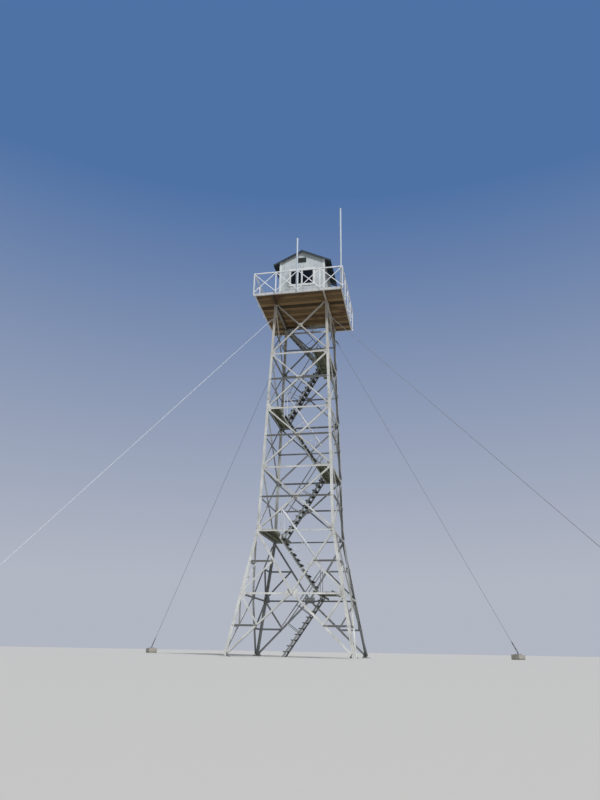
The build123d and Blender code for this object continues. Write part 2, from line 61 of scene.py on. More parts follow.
# The guyed lattice lookout tower, in metres. +Z is up and the front looks along -Y.
# Sizes that repeat the construction: legs and bracing
BASE_HALF = 2.57
KINK_HALF = 1.67
TOP_HALF = 1.32
KINK_Z = 5.0
LEG_TOP_Z = 16.18
RING_Z = 2.42
LOW_MID_Z = RING_Z * 0.49
HIGH_MID_Z = (RING_Z + KINK_Z) / 2
LEG_WALL = 0.010
BASE_PLATE_T = 0.025
BASE_BOLT_APART = 0.26
PANELS = 4
DECK_UNDER = 16.28
DECK_TOP = 16.33
PANEL_H = (DECK_UNDER - KINK_Z) / PANELS
BAR = 0.075
PORTAL_X = BASE_HALF * (RING_Z - LOW_MID_Z) / RING_Z
VEE_X = KINK_HALF * (HIGH_MID_Z - RING_Z) / (KINK_Z - RING_Z)
SPLICE_Z = KINK_Z + PANEL_H * 2 + 0.62
SPLICE_T = 0.008
SIDES = {"front": 0, "right": 90, "rear": 180, "left": 270}
CORNERS = {"front_right": 0, "rear_right": 90, "rear_left": 180, "front_left": 270}
# Stair and landings
LANDING_Z = [RING_Z] + [KINK_Z + PANEL_H * i for i in range(PANELS)]
LANDING_T = 0.045
LANDING_EDGE = 0.85
TOP_LANDING_EDGE = 0.65
FIRST_LANDING_LIFT = 0.08
FIRST_LANDING_HALF = 0.95
FIRST_LANDING_WIDTH = 0.80
BEAM_H = 0.08
BEAM_WIDTH = 0.05
LANE = 0.55
FLIGHT_HALF = 0.31
FLIGHT_FOOT = 0.96
LAST_FLIGHT_FOOT = 1.05
LAST_FLIGHT_Y = 1.76
LAST_FLIGHT_HALF = 0.28
STRINGER = 0.075
STRINGER_UNDER_NOSES = 0.118
TREAD_GOING = 0.20
TREAD_RISE = 0.23
TREAD_T = 0.004
NOSE_LIP = 0.033
BACK_LIP = 0.022
GRIP_STRIPS = (0.012, 0.034, 0.056)
HANDRAIL_H = 1.10
HANDRAIL_R = 0.023
THICK_HANDRAIL_R = 0.034
POST_R = 0.015
POST_SHARES = (0.40, 0.68)
# Platform and railing
PLATFORM_HALF = 2.15
EDGE_WALL = 0.008
EDGE_H = 0.118
DECK_HALF = PLATFORM_HALF - EDGE_WALL - 0.006
PLANK = 0.28
PLANK_TONE_STEP = 0.2846
PLANK_GAP = 0.006
JOIST_X = 1.255
HATCH_JOIST_X = 0.835
RIM_NAILS_X = 2.11
RAIL_TOP = DECK_TOP + 1.18
HATCH_FRONT = 1.28
HATCH_RIGHT = 0.80
HATCH_LEFT = -1.22
# Cabin
CABIN_HALF = 1.15
EAVE_Z = DECK_TOP + 2.37
APEX_Z = DECK_TOP + 2.94
SLOPE = (APEX_Z - EAVE_Z) / CABIN_HALF
ROOF_REACH = CABIN_HALF + 0.33
ROOF_FRONT = -CABIN_HALF - 0.11
ROOF_REAR = CABIN_HALF + 0.06
ROOF_WAVES = 33
ROOF_WAVE_H = 0.0075
ROOF_SHEET_T = 0.0015
BATTEN_X = (0.35, 0.85, 1.35)
BOARDS_PER_WALL = 22
BOARD_T = 0.016
SILL_Z = DECK_TOP + 1.01
WINDOW_H = 0.83
WINDOW_HALF = 0.585
DOOR_HALF = 0.38
DOOR_H = 1.90
DOOR_PLANKS = 7
LEDGE_HEIGHTS = (0.22, 0.95, 1.62)
HINGE_HEIGHTS = (0.30, 1.66)
PULL_X = 0.30
VENT_HALF = 0.21
VENT_H = 0.28
VENT_SLATS = 6
SLAT_STEP = 0.037
# Masts: x and height above the deck
TALL_MAST = (2.10, 4.63)
SHORT_MAST = (-0.07, 3.08)
MAST_R = 0.042
# Guys
GUY_Z = 15.3
GUY_GROUND = {"front_right": 11.55, "rear_right": 9.93, "rear_left": 11.55, "front_left": 9.93}
LUG_REACH = 0.150
PIN_INSET = 0.035
BLOCK_HALF = 0.26
BLOCK_H = 0.26
ANCHOR_PLATE_T = 0.02
PIN_RISE = 0.07
JAW_L = 0.130
TURNBUCKLE_L = 0.520
THREADS = 14
SOCKET_L = 0.09
ROPE_R = 0.010
ROPE_LAY = 0.19
STRANDS = 6
STRAND_VALLEY = 0.74
# Camera, low in front of the tower, its angles in degrees
LENS = 28.22
CAMERA_AT = Vector((5.230, -27.698, 0.25))
HEADING = 11.115
PITCH = 21.803
ROLL = 1.009


def half_at(z):
    """Half the tower's width over the legs at height z."""
    if z <= KINK_Z:
        return BASE_HALF + (KINK_HALF - BASE_HALF) * z / KINK_Z
    return KINK_HALF + (TOP_HALF - KINK_HALF) * (z - KINK_Z) / (LEG_TOP_Z - KINK_Z)


def crossing(i):
    """The height at which the diagonals of an upper panel cross."""
    z0, z1 = KINK_Z + PANEL_H * i, KINK_Z + PANEL_H * (i + 1)
    return z0 + PANEL_H * half_at(z0) / (half_at(z0) + half_at(z1))


CROSS_Z = [crossing(i) for i in range(PANELS)]


# Patterns and finishes

class Pattern:
    """A tree of shader nodes in the making."""

    place = None

    def __init__(self, tree):
        self.nodes, self.links = tree.nodes, tree.links

    def feed(self, slot, value):
        """Link another node's output to an input, or set the input to a number or numbers."""
        if isinstance(value, bpy.types.NodeSocket):
            self.links.new(value, slot)
        else:
            slot.default_value = value

    def node(self, kind, output, **inputs):
        """The output of a new node with some of its inputs fed. Underscores stand for spaces."""
        node = self.nodes.new("ShaderNode" + kind)
        for name, value in inputs.items():
            self.feed(node.inputs[name.replace("_", " ")], value)
        return node.outputs[output]

    def operated(self, kind, operation, output, values):
        """The output of a new maths node of one kind."""
        node = self.nodes.new("ShaderNode" + kind)
        node.operation = operation
        for slot, value in zip(node.inputs, values):
            self.feed(slot, value)
        return node.outputs[output]

    def maths(self, operation, *values):
        """A sum with one or two values or numbers."""
        return self.operated("Math", operation, 0, values)

    def vectors(self, operation, *values, output=0):
        """A sum with one or two vectors."""
        return self.operated("VectorMath", operation, output, values)

    def times(self, a, b):
        return self.maths("MULTIPLY", a, b)

    def plus(self, a, b):
        return self.maths("ADD", a, b)

    def ramp(self, value, low, high):
        """A value drawn out between two limits to 0 and 1."""
        return self.node("MapRange", "Result", From_Min=low, From_Max=high, Value=value)

    def axis(self, letter, source=None):
        """One part of the place, or of another vector."""
        return self.node("SeparateXYZ", letter, Vector=source or self.place)

    def mix(self, amount, below, above, share=None):
        """One colour laid over another, by an amount or a share of it."""
        if share is not None:
            amount = self.times(amount, share)
        node = self.nodes.new("ShaderNodeMix")
        node.data_type = "RGBA"
        self.links.new(amount, node.inputs["Factor"])
        for slot, colour in ((node.inputs[6], below), (node.inputs[7], above)):
            self.feed(slot, (*colour, 1) if isinstance(colour, tuple) else colour)
        return node.outputs[2]


class Finish(Pattern):
    """A material in the making: its pattern nodes and its shader."""

    def __init__(self, name, roughness=0.6, metallic=0.0):
        self.material = bpy.data.materials.new(name)
        self.material.use_nodes = True
        super().__init__(self.material.node_tree)
        self.shader = self.nodes["Principled BSDF"]
        self.shader.inputs["Roughness"].default_value = roughness
        self.shader.inputs["Metallic"].default_value = metallic
        self.place = self.node("TexCoord", "Object")

    def stretched(self, *scale):
        """The place on the object, squeezed along its axes."""
        return self.node("Mapping", "Vector", Scale=scale, Vector=self.place)

    def noise(self, scale, detail, where=None, rough=0.55):
        """A cloudy pattern."""
        return self.node("TexNoise", "Fac", Scale=scale, Detail=detail, Roughness=rough,
                         Vector=where or self.place)

    def patches(self, low, high, scale, detail, where=None, rough=0.55):
        """A cloudy pattern drawn out between two limits."""
        return self.ramp(self.noise(scale, detail, where, rough), low, high)

    def facing(self):
        """The way that a face looks."""
        return self.node("NewGeometry", "Normal")

    def inward(self):
        """1 on faces that look at the tower's axis, 0 on those that look away from it."""
        facing = self.facing()
        out = self.vectors("NORMALIZE", self.vectors("MULTIPLY", self.place, (1, 1, 0)))
        return self.ramp(self.vectors("DOT_PRODUCT", facing, out, output="Value"), 0.10, -0.10)

    def downward(self):
        """1 on faces that look down, 0 on the others."""
        return self.ramp(self.axis("Z", self.facing()), -0.3, -0.7)

    def colour(self, value):
        """Give the shader its colour."""
        self.links.new(value, self.shader.inputs["Base Color"])

    def roughness(self, value, low, high):
        """Give the shader a roughness between two limits."""
        rough = self.node("MapRange", "Result", To_Min=low, To_Max=high, Value=value)
        self.links.new(rough, self.shader.inputs["Roughness"])

    def bump(self, height, distance, strength=0.6):
        """Give the shader a fine unevenness."""
        uneven = self.node("Bump", "Normal", Distance=distance, Strength=strength, Height=height)
        self.links.new(uneven, self.shader.inputs["Normal"])

    def rusted(self, colour, rust, start, smooth, rough):
        """Rust that breaks through a colour, and the fine grain of brushed paint."""
        spots = self.patches(start, start + 0.07, 24, 8, rough=0.7)
        self.colour(self.mix(spots, colour, rust))
        self.roughness(self.plus(self.noise(140, 3), spots), smooth, rough)
        self.bump(self.plus(self.noise(60, 4), spots), 0.0012)
        return self.material


def level_bar_shade(coat):
    """1 on the secondary level bars of the bracing, whose darker paint is painted shade under their outward
    top flanges, 0 elsewhere.
    """
    x, y = (coat.maths("ABSOLUTE", coat.axis(letter)) for letter in "XY")
    z, aside = coat.axis("Z"), coat.maths("MINIMUM", x, y)
    bars = [(LOW_MID_Z - BAR, LOW_MID_Z, PORTAL_X + 0.17),
            (HIGH_MID_Z - BAR, HIGH_MID_Z, VEE_X + 0.17)]
    bars += [(cross - BAR / 2, cross + BAR / 2, 0.12) for cross in CROSS_Z]
    found = None
    for low, high, reach in bars:
        here = coat.times(coat.maths("GREATER_THAN", z, low - 0.004),
                          coat.maths("LESS_THAN", z, high + 0.004))
        here = coat.times(here, coat.maths("GREATER_THAN", aside, reach))
        found = here if found is None else coat.maths("MAXIMUM", found, here)
    return found


def weathered_paint(name, fresh, faded, grime=(0.20, 0.18, 0.15), rusting=0.62,
                    inner=None, below=None, dust_and_shade=None, bars=None, shade_right_and_low_only=False):
    """Brushed oil paint with clouds of fading, grime that runs down, and rust that breaks through; where
    asked, tan dust with painted shade high up, and painted shade on the level bars, on inward faces and on
    downward faces.
    """
    coat = Finish(name)
    colour = coat.mix(coat.patches(0.35, 0.65, 1.7, 5), fresh, faded)
    # Tan dust and painted shade: towards the platform the paint turns tan, partly dust, partly the
    # platform's shade.
    if dust_and_shade:
        colour = coat.mix(coat.ramp(coat.axis("Z"), 13.0, 15.6), colour, dust_and_shade, 0.75)
    runs = coat.patches(0.50, 0.80, 9, 5, coat.stretched(1, 1, 0.12))
    colour = coat.mix(runs, colour, grime, 0.55)
    # Painted shade: the secondary level bars take the darker bars colour, deepening the real shade under
    # their outward top flanges.
    if bars:
        colour = coat.mix(level_bar_shade(coat), colour, bars)
    # Painted shade: faces that look in towards the tower's axis take the darker inner colour, standing in
    # for the shade inside the tower.
    if inner:
        share = coat.times(coat.inward(), 0.85)
        # On the legs this painted shade is kept to the right legs and to the lower stage.
        if shade_right_and_low_only:
            low = coat.ramp(coat.axis("Z"), KINK_Z + 0.1, KINK_Z - 0.3)
            right = coat.ramp(coat.axis("X"), -0.3, 0.3)
            share = coat.times(share, coat.maths("MAXIMUM", low, right))
        colour = coat.mix(share, colour, inner)
    # Painted shade: faces that look down take the darker below colour.
    if below:
        colour = coat.mix(coat.downward(), colour, below)
    return coat.rusted(colour, (0.20, 0.09, 0.04), rusting, 0.42, 0.85)


def joist_paint(name, pale, dark):
    """Old paint on the joists, pale on the right ones and dark on the left ones."""
    coat = Finish(name)
    clouds = coat.patches(0.35, 0.65, 5, 6)
    side = coat.ramp(coat.plus(coat.axis("X"), coat.times(clouds, 0.8)), 0.9, 0.2)
    colour = coat.mix(side, coat.mix(clouds, pale, tuple(c * 0.75 for c in pale)),
                      coat.mix(clouds, dark, tuple(c * 0.6 for c in dark)))
    return coat.rusted(colour, (0.14, 0.06, 0.03), 0.62, 0.5, 0.9)


def plank_wood(name, light, dark, stain, bleached, width, start):
    """Sawn planks laid along X, each of its own tone, with grain along it, stains and a bleached top."""
    wood = Finish(name, 0.8)
    wood.shader.inputs["Specular IOR Level"].default_value = 0.2
    along = wood.maths("DIVIDE", wood.maths("SUBTRACT", wood.axis("Y"), start), width)
    row = wood.maths("FLOOR", along)
    tone = wood.nodes.new("ShaderNodeTexWhiteNoise")
    tone.noise_dimensions = "1D"
    wood.links.new(row, tone.inputs["W"])
    turns = wood.maths("MODULO", row, 2.0)
    grain = wood.noise(3, 6, wood.stretched(0.6, 18, 18), 0.6)
    shade = wood.plus(wood.times(tone.outputs["Value"], 0.45),
                      wood.times(wood.ramp(grain, 0.3, 0.7), 0.30))
    shade = wood.ramp(wood.plus(shade, wood.times(turns, 0.50)), 0.15, 1.00)
    colour = wood.mix(shade, dark, light)
    colour = wood.mix(wood.patches(0.54, 0.70, 1.3, 5), colour, stain, 0.7)
    seam = wood.ramp(wood.maths("PINGPONG", along, 0.5), 0.07, 0.02)
    colour = wood.mix(seam, colour, (0.012, 0.009, 0.006), 0.8)
    up = wood.ramp(wood.axis("Z", wood.facing()), 0.3, 0.8)
    wood.colour(wood.mix(up, colour, bleached, 0.6))
    wood.roughness(grain, 0.6, 0.95)
    wood.bump(grain, 0.002, 0.7)
    return wood.material


def painted_boards(name, fresh, faded, grime, darker_top=None, smudged=False):
    """Paint on upright boards, with dirt that runs down and, where asked, a streaky band darkening towards
    the roof, which on the side walls is painted shade under the eaves.
    """
    coat = Finish(name)
    colour = coat.mix(coat.patches(0.35, 0.7, 2.3, 5), fresh, faded)
    runs = coat.patches(0.52, 0.78, 14, 6, coat.stretched(1, 1, 0.08))
    colour = coat.mix(runs, colour, grime, 0.5)
    if smudged:
        band = coat.times(coat.ramp(coat.axis("Z"), DECK_TOP + 0.45, DECK_TOP + 0.80),
                          coat.ramp(coat.axis("Z"), DECK_TOP + 1.10, DECK_TOP + 0.95))
        blots = coat.patches(0.48, 0.64, 4, 6, rough=0.65)
        colour = coat.mix(coat.times(band, blots), colour, grime, 0.55)
    # Darker towards the top in streaks: on the side walls this is painted shade for the shadow under the
    # eaves; on the gables it darkens towards the apex.
    if darker_top:
        low, high, share, tint = darker_top
        streaks = coat.times(coat.noise(10, 5, coat.stretched(1, 1, 0.05)), 0.9)
        height = coat.plus(coat.axis("Z"), coat.maths("SUBTRACT", streaks, 0.45))
        colour = coat.mix(coat.ramp(height, low, high), colour, tint, share)
    peel = coat.patches(0.66, 0.72, 38, 8, rough=0.7)
    coat.colour(coat.mix(peel, colour, (0.28, 0.25, 0.20)))
    grain = coat.noise(30, 4, coat.stretched(1, 1, 0.06))
    coat.roughness(grain, 0.5, 0.8)
    coat.bump(coat.maths("SUBTRACT", grain, peel), 0.0015, 0.5)
    return coat.material


def dark_sheet(name):
    """Dark green blackish sheet metal, chalky, with lighter scuffs."""
    coat = Finish(name, 0.7)
    clouds = coat.patches(0.3, 0.7, 2.5, 5)
    colour = coat.mix(clouds, (0.017, 0.029, 0.037), (0.037, 0.055, 0.067))
    scuffs = coat.patches(0.60, 0.75, 18, 7, coat.stretched(0.2, 1, 1))
    coat.colour(coat.mix(scuffs, colour, (0.13, 0.12, 0.10), 0.5))
    coat.roughness(clouds, 0.5, 0.8)
    coat.bump(coat.noise(90, 3), 0.001)
    return coat.material


def dark_glass(name):
    """Window glass, a little dusty, near black as painted shade for the unlit room behind it."""
    pane = Finish(name, 0.06)
    dust = pane.patches(0.45, 0.8, 6, 6)
    pane.shader.inputs["Specular IOR Level"].default_value = 0.3
    pane.colour(pane.mix(dust, (0.003, 0.004, 0.006), (0.010, 0.012, 0.013)))
    pane.roughness(dust, 0.05, 0.30)
    pane.bump(pane.noise(3, 2), 0.002, 0.15)
    return pane.material


def zinc(name, light, dark, metallic=0.75):
    """Galvanised steel gone dull, with spangle and a few rust marks."""
    coat = Finish(name, 0.5, metallic)
    cells = coat.node("TexVoronoi", "Distance", Scale=60, Vector=coat.place)
    spangle = coat.ramp(cells, 0.1, 0.7)
    spots = coat.patches(0.60, 0.68, 30, 7, rough=0.7)
    coat.colour(coat.mix(spots, coat.mix(spangle, light, dark), (0.20, 0.10, 0.05)))
    coat.roughness(coat.plus(spangle, spots), 0.40, 0.75)
    coat.bump(coat.noise(120, 3), 0.0006)
    return coat.material


def rough_concrete(name):
    """Poured concrete with sand, small holes and damp edges."""
    cast = Finish(name, 0.9)
    colour = cast.mix(cast.patches(0.3, 0.7, 3, 6), (0.42, 0.40, 0.36), (0.28, 0.27, 0.24))
    sand = cast.noise(160, 4)
    holes = cast.patches(0.68, 0.72, 45, 3)
    colour = cast.mix(cast.ramp(sand, 0.4, 0.7), colour, (0.52, 0.49, 0.43), 0.35)
    colour = cast.mix(holes, colour, (0.12, 0.11, 0.10))
    damp = cast.ramp(cast.axis("Z"), 0.10, 0.0)
    cast.colour(cast.mix(damp, colour, (0.15, 0.15, 0.11), 0.7))
    cast.roughness(sand, 0.8, 1.0)
    cast.bump(cast.maths("SUBTRACT", cast.times(sand, 0.4), holes), 0.003, 0.8)
    return cast.material


# Tan towards the top of the legs and bracing: partly dust, partly painted shade under the platform.
TAN_DUST_AND_SHADE = (0.36, 0.32, 0.26)
# The front and rear gables darken towards the apex.
GABLE_DARKENING = (EAVE_Z - 0.1, APEX_Z, 0.35, (0.24, 0.27, 0.27))
# Painted shade: the side walls darken in streaks for the shadow under the eaves.
EAVES_PAINTED_SHADE = (EAVE_Z - 1.05, EAVE_Z - 0.45, 0.62, (0.09, 0.10, 0.10))
PAINT = {
    # Legs: inner is painted shade on their inward faces, on the right legs and the lower stage.
    "leg_paint": weathered_paint("chalky_leg_paint", (0.62, 0.63, 0.61), (0.47, 0.48, 0.46),
                                 inner=(0.17, 0.18, 0.18), dust_and_shade=TAN_DUST_AND_SHADE, shade_right_and_low_only=True),
    # Bracing: inner is painted shade on its inward faces, and bars a darker paint on the level bars, also
    # painted shade.
    "brace_paint": weathered_paint("chalky_brace_paint", (0.61, 0.62, 0.60), (0.46, 0.47, 0.45),
                                   inner=(0.16, 0.17, 0.18), dust_and_shade=TAN_DUST_AND_SHADE, bars=(0.29, 0.30, 0.30)),
    # below, on the stair, tread and landing paints, is painted shade: the darker colour of faces that look
    # down.
    "stair_paint": weathered_paint("dull_stair_paint", (0.42, 0.44, 0.43), (0.30, 0.32, 0.31),
                                   grime=(0.10, 0.09, 0.08), below=(0.07, 0.07, 0.06)),
    "tread_paint": weathered_paint("dark_tread_paint", (0.10, 0.105, 0.095), (0.06, 0.064, 0.056),
                                   grime=(0.04, 0.035, 0.03), below=(0.030, 0.032, 0.026)),
    # Painted shade: this grey is the shaded copy of the white railing paint, for the handrails of the rear
    # lane and the last flight.
    "handrail_paint": weathered_paint("shaded_grey_handrail_paint", (0.34, 0.35, 0.35), (0.22, 0.23, 0.23)),
    "landing_steel": weathered_paint("dark_landing_paint", (0.24, 0.25, 0.21), (0.15, 0.16, 0.13),
                                     grime=(0.05, 0.045, 0.03), below=(0.16, 0.17, 0.10)),
    "landing_rim_paint": weathered_paint("pale_landing_paint", (0.48, 0.50, 0.45), (0.34, 0.36, 0.32),
                                         below=(0.100, 0.106, 0.058)),
    "joist_paint": joist_paint("pale_and_dark_joist_paint", (0.42, 0.38, 0.30), (0.050, 0.034, 0.017)),
    "edge_paint": weathered_paint("white_edge_paint", (0.58, 0.59, 0.60), (0.46, 0.47, 0.48),
                                  rusting=0.66),
    "deck_wood": plank_wood("sawn_deck_planks", (0.215, 0.140, 0.064), (0.040, 0.026, 0.011),
                            (0.062, 0.026, 0.014), (0.26, 0.22, 0.17), PLANK_TONE_STEP, -DECK_HALF),
    "rail_paint": weathered_paint("white_railing_paint", (0.78, 0.81, 0.84), (0.69, 0.72, 0.76),
                                  rusting=0.70),
    "cabin_boards": painted_boards("white_cabin_boards", (0.58, 0.63, 0.66), (0.46, 0.51, 0.54),
                                   (0.25, 0.27, 0.25), GABLE_DARKENING, True),
    "side_boards": painted_boards("eave_shaded_side_boards", (0.60, 0.64, 0.66), (0.46, 0.50, 0.53),
                                  (0.22, 0.23, 0.22), EAVES_PAINTED_SHADE),
    "door_boards": painted_boards("grey_door_boards", (0.42, 0.44, 0.42), (0.30, 0.32, 0.30),
                                  (0.15, 0.14, 0.12)),
    "vent_paint": painted_boards("dark_vent_paint", (0.070, 0.080, 0.080), (0.045, 0.050, 0.050),
                                 (0.03, 0.03, 0.03)),
    "roof_sheet": dark_sheet("dark_roof_sheet"),
    "window_paint": painted_boards("white_window_paint", (0.74, 0.77, 0.78), (0.64, 0.67, 0.68),
                                   (0.38, 0.38, 0.34)),
    "window_panes": dark_glass("dark_window_glass"),
    "mast_paint": weathered_paint("white_mast_paint", (0.57, 0.65, 0.73), (0.49, 0.57, 0.65),
                                  rusting=0.70),
    "guy_rope": zinc("dull_rope_zinc", (0.34, 0.35, 0.37), (0.24, 0.25, 0.26), 0.25),
    # Painted light: the lit copy of the dull rope zinc, for the front left guy's rope.
    "sunlit_rope": zinc("sunlit_rope_zinc", (0.84, 0.87, 0.90), (0.68, 0.71, 0.74), 0.25),
    "anchor_steel": zinc("dull_anchor_zinc", (0.42, 0.42, 0.41), (0.24, 0.24, 0.24)),
    "anchor_concrete": rough_concrete("poured_block_concrete"),
}

NODE_SLOTS = {row["node"]: row["material_slot"] for row in frame["record"]["subparts"]}
for node_name, cad_node in frame["nodes"].items():
    cad_node.data.materials.clear()
    cad_node.data.materials.append(PAINT[NODE_SLOTS[node_name]])


# Camera, light and floor

def add_camera():
    """A camera low in front of the tower, turned up at it."""
    data = bpy.data.cameras.new("camera")
    data.lens = LENS
    data.sensor_width = 36
    data.clip_end = 500
    camera = bpy.data.objects.new("camera", data)
    bpy.context.scene.collection.objects.link(camera)
    aim = turned(HEADING, "Z") @ turned(90 + PITCH, "X") @ turned(ROLL, "Z")
    camera.matrix_world = Matrix.Translation(CAMERA_AT) @ aim
    bpy.context.scene.camera = camera


def add_light():
    """A soft high lamp from the front right, even light all round and a backdrop deeper at the top."""
    bpy.ops.object.light_add(type="SUN", location=(20, -30, 40))
    sun = bpy.context.object
    sun.data.energy = 2.9
    sun.data.angle = math.radians(8)
    sun.rotation_euler = (math.radians(38), 0, math.radians(35))
    world = bpy.data.worlds.new("studio")
    bpy.context.scene.world = world
    world.use_nodes = True
    tree = Pattern(world.node_tree)
    sky = tree.nodes["Background"]
    sky.inputs["Color"].default_value = (0.90, 0.94, 1.0, 1)
    sky.inputs["Strength"].default_value = 0.28
    height = tree.ramp(tree.axis("Z", tree.node("TexCoord", "Generated")), 0.10, 0.64)
    shade = tree.mix(height, (0.44, 0.47, 0.545), (0.078, 0.168, 0.375))
    backdrop = tree.node("Background", 0, Color=shade)
    rays = tree.nodes.new("ShaderNodeLightPath").outputs
    glint = tree.maths("MAXIMUM", rays["Is Glossy Ray"], rays["Is Transmission Ray"])
    seen = tree.maths("MAXIMUM", rays["Is Camera Ray"], glint)
    both = tree.nodes.new("ShaderNodeMixShader")
    for slot, value in zip(both.inputs, (seen, sky.outputs[0], backdrop)):
        tree.links.new(value, slot)
    tree.links.new(both.outputs[0], tree.nodes["World Output"].inputs["Surface"])
    bpy.context.scene.view_settings.view_transform = "Standard"


def add_floor():
    """A plain pale floor."""
    bpy.ops.mesh.primitive_plane_add(size=400, location=(0, 0, -0.001))
    floor = bpy.context.object
    floor.name = "floor"
    paint = Finish("pale_floor", 0.9)
    paint.shader.inputs["Base Color"].default_value = (0.58, 0.57, 0.55, 1)
    floor.data.materials.append(paint.material)


# Ways of making a piece

def moved(x, y, z):
    """A shift in metres."""
    return Matrix.Translation((x, y, z))


def turned(angle, axis):
    """A turn in degrees round an axis."""
    return Matrix.Rotation(math.radians(angle), 4, axis)


MIRROR_X = Matrix.Scale(-1, 4, (1, 0, 0))
MIRROR_Y = Matrix.Scale(-1, 4, (0, 1, 0))


def rest():
    """Leave edit mode and select nothing."""
    if bpy.context.object and bpy.context.object.mode == "EDIT":
        bpy.ops.object.mode_set(mode="OBJECT")
    bpy.ops.object.select_all(action="DESELECT")


def take(*pieces):
    """Select these pieces alone, the first one active."""
    rest()
    for piece in pieces:
        piece.select_set(True)
    bpy.context.view_layer.objects.active = pieces[0]


def settle(piece):
    """Put the piece's place, turn and size into its mesh."""
    take(piece)
    bpy.ops.object.transform_apply(location=True, rotation=True, scale=True)
    return piece


def put(piece, matrix):
    """Move, turn or mirror a piece's mesh, its faces still looking out."""
    piece.data.transform(matrix)
    if matrix.determinant() < 0:
        piece.data.flip_normals()
    return piece


def copied(piece, matrix):
    """A copy with its own mesh, put somewhere else."""
    other = piece.copy()
    other.data = piece.data.copy()
    bpy.context.scene.collection.objects.link(other)
    return put(other, matrix)


def joined(pieces):
    """Several pieces made one."""
    take(*pieces)
    if len(pieces) > 1:
        bpy.ops.object.join()
    return bpy.context.object


def drop(*pieces):
    """Take patterns away once their copies stand."""
    for piece in pieces:
        bpy.data.objects.remove(piece)


def open_whole(piece):
    """Go into edit mode with the whole piece selected."""
    take(piece)
    bpy.ops.object.mode_set(mode="EDIT")
    bpy.ops.mesh.select_all(action="SELECT")


def close(piece):
    """Leave edit mode."""
    bpy.ops.object.mode_set(mode="OBJECT")
    return piece


def unpick(piece, kind):
    """Leave none of a piece's faces or edges selected."""
    take(piece)
    bpy.ops.object.mode_set(mode="EDIT")
    bpy.ops.mesh.select_mode(type=kind)
    bpy.ops.mesh.select_all(action="DESELECT")
    bpy.ops.object.mode_set(mode="OBJECT")


def pick(piece, test):
    """Go into edit mode with the faces selected that pass the test."""
    unpick(piece, "FACE")
    for face in piece.data.polygons:
        face.select = test(face)
    bpy.ops.object.mode_set(mode="EDIT")


def pick_edges(piece, test):
    """Go into edit mode with the edges selected whose two ends pass the test."""
    unpick(piece, "EDGE")
    for edge in piece.data.edges:
        edge.select = test(*(piece.data.vertices[v].co for v in edge.vertices))
    bpy.ops.object.mode_set(mode="EDIT")


def block(corner, opposite, bevel=0.0, segments=1):
    """A block between two opposite corners, its edges bevelled."""
    rest()
    middle = [(a + b) / 2 for a, b in zip(corner, opposite)]
    size = [abs(b - a) for a, b in zip(corner, opposite)]
    bpy.ops.mesh.primitive_cube_add(size=1, location=middle, scale=size)
    piece = settle(bpy.context.object)
    if bevel:
        open_whole(piece)
        bpy.ops.mesh.bevel(offset=bevel, segments=segments, affect="EDGES")
        close(piece)
    return piece


def rod(a, b, radius, sides=10, bevel=0.0):
    """A round bar from a to b, its two rims bevelled."""
    rest()
    a, b = Vector(a), Vector(b)
    bpy.ops.mesh.primitive_cylinder_add(vertices=sides, radius=radius, depth=(b - a).length)
    piece = bpy.context.object
    turn = (b - a).to_track_quat("Z", "Y").to_matrix().to_4x4()
    piece.matrix_world = Matrix.Translation((a + b) / 2) @ turn
    if bevel:
        pick(piece, lambda face: abs(face.normal.z) > 0.9)
        bpy.ops.mesh.region_to_loop()
        bpy.ops.mesh.bevel(offset=bevel, segments=1, affect="EDGES")
        close(piece)
    return settle(piece)


def hollow(piece, test, rim, depth):
    """Inset the faces that pass the test and sink them."""
    pick(piece, test)
    bpy.ops.mesh.inset(thickness=rim, depth=-depth)
    return close(piece)


def cut(piece, point, normal):
    """Cut off what lies on the normal's side of a plane, and close the cut."""
    take(piece)
    bpy.ops.object.mode_set(mode="EDIT")
    bpy.ops.mesh.select_mode(type="FACE")
    bpy.ops.mesh.select_all(action="SELECT")
    bpy.ops.mesh.bisect(plane_co=point, plane_no=normal, use_fill=True, clear_outer=True)
    return close(piece)


def hex_bolt(size=1.0):
    """A hexagon head on a washer, standing up from z = 0."""
    parts = []
    for low, high, radius, sides in ((0, 0.003, 0.017, 8), (0.003, 0.012, 0.013, 6),
                                     (0.012, 0.017, 0.007, 6)):
        parts.append(rod((0, 0, low * size), (0, 0, high * size), radius * size, sides))
    return joined(parts)


def finished(piece, name, paint, nodes=(), smooth=None):
    """Name a piece, paint it and hang it on the tower."""
    piece.name = name
    piece.data.name = name
    if smooth:
        take(piece)
        bpy.ops.object.shade_smooth_by_angle(angle=math.radians(smooth))
    piece.data.materials.clear()
    piece.data.materials.append(PAINT[paint])
    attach(piece, "root")
    if nodes:
        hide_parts(*nodes)
    rest()
    return piece


# Bracing plates, bolts and leg splices

class SidePlane:
    """The front side of one stage, lying flat: x, height up the slope, and out of the side."""

    def __init__(self, z_low, z_high):
        lean = half_at(z_low) - half_at(z_high)
        rise = z_high - z_low
        length = math.hypot(rise, lean)
        self.z_low, self.stretch = z_low, length / rise
        self.skin = LEG_WALL / self.stretch
        self.matrix = Matrix(((1, 0, 0, 0), (0, lean / length, -rise / length, -half_at(z_low)),
                              (0, rise / length, lean / length, z_low), (0, 0, 0, 1)))

    def at(self, x, z, out=0.0):
        """The matrix of a spot of the side: x, height above the ground, distance out of the leg's face."""
        return self.matrix @ moved(x, (z - self.z_low) * self.stretch, out)


# Bolts at a panel point of an upper side: distance in from the leg's corner, height over the point
PANEL_LEG_BOLTS = ((0.045, 0.075), (0.045, -0.085), (0.090, 0.040), (0.090, -0.045))
PANEL_BRACE_BOLTS = ((0.165, 0.095), (0.165, -0.040), (0.205, -0.040))
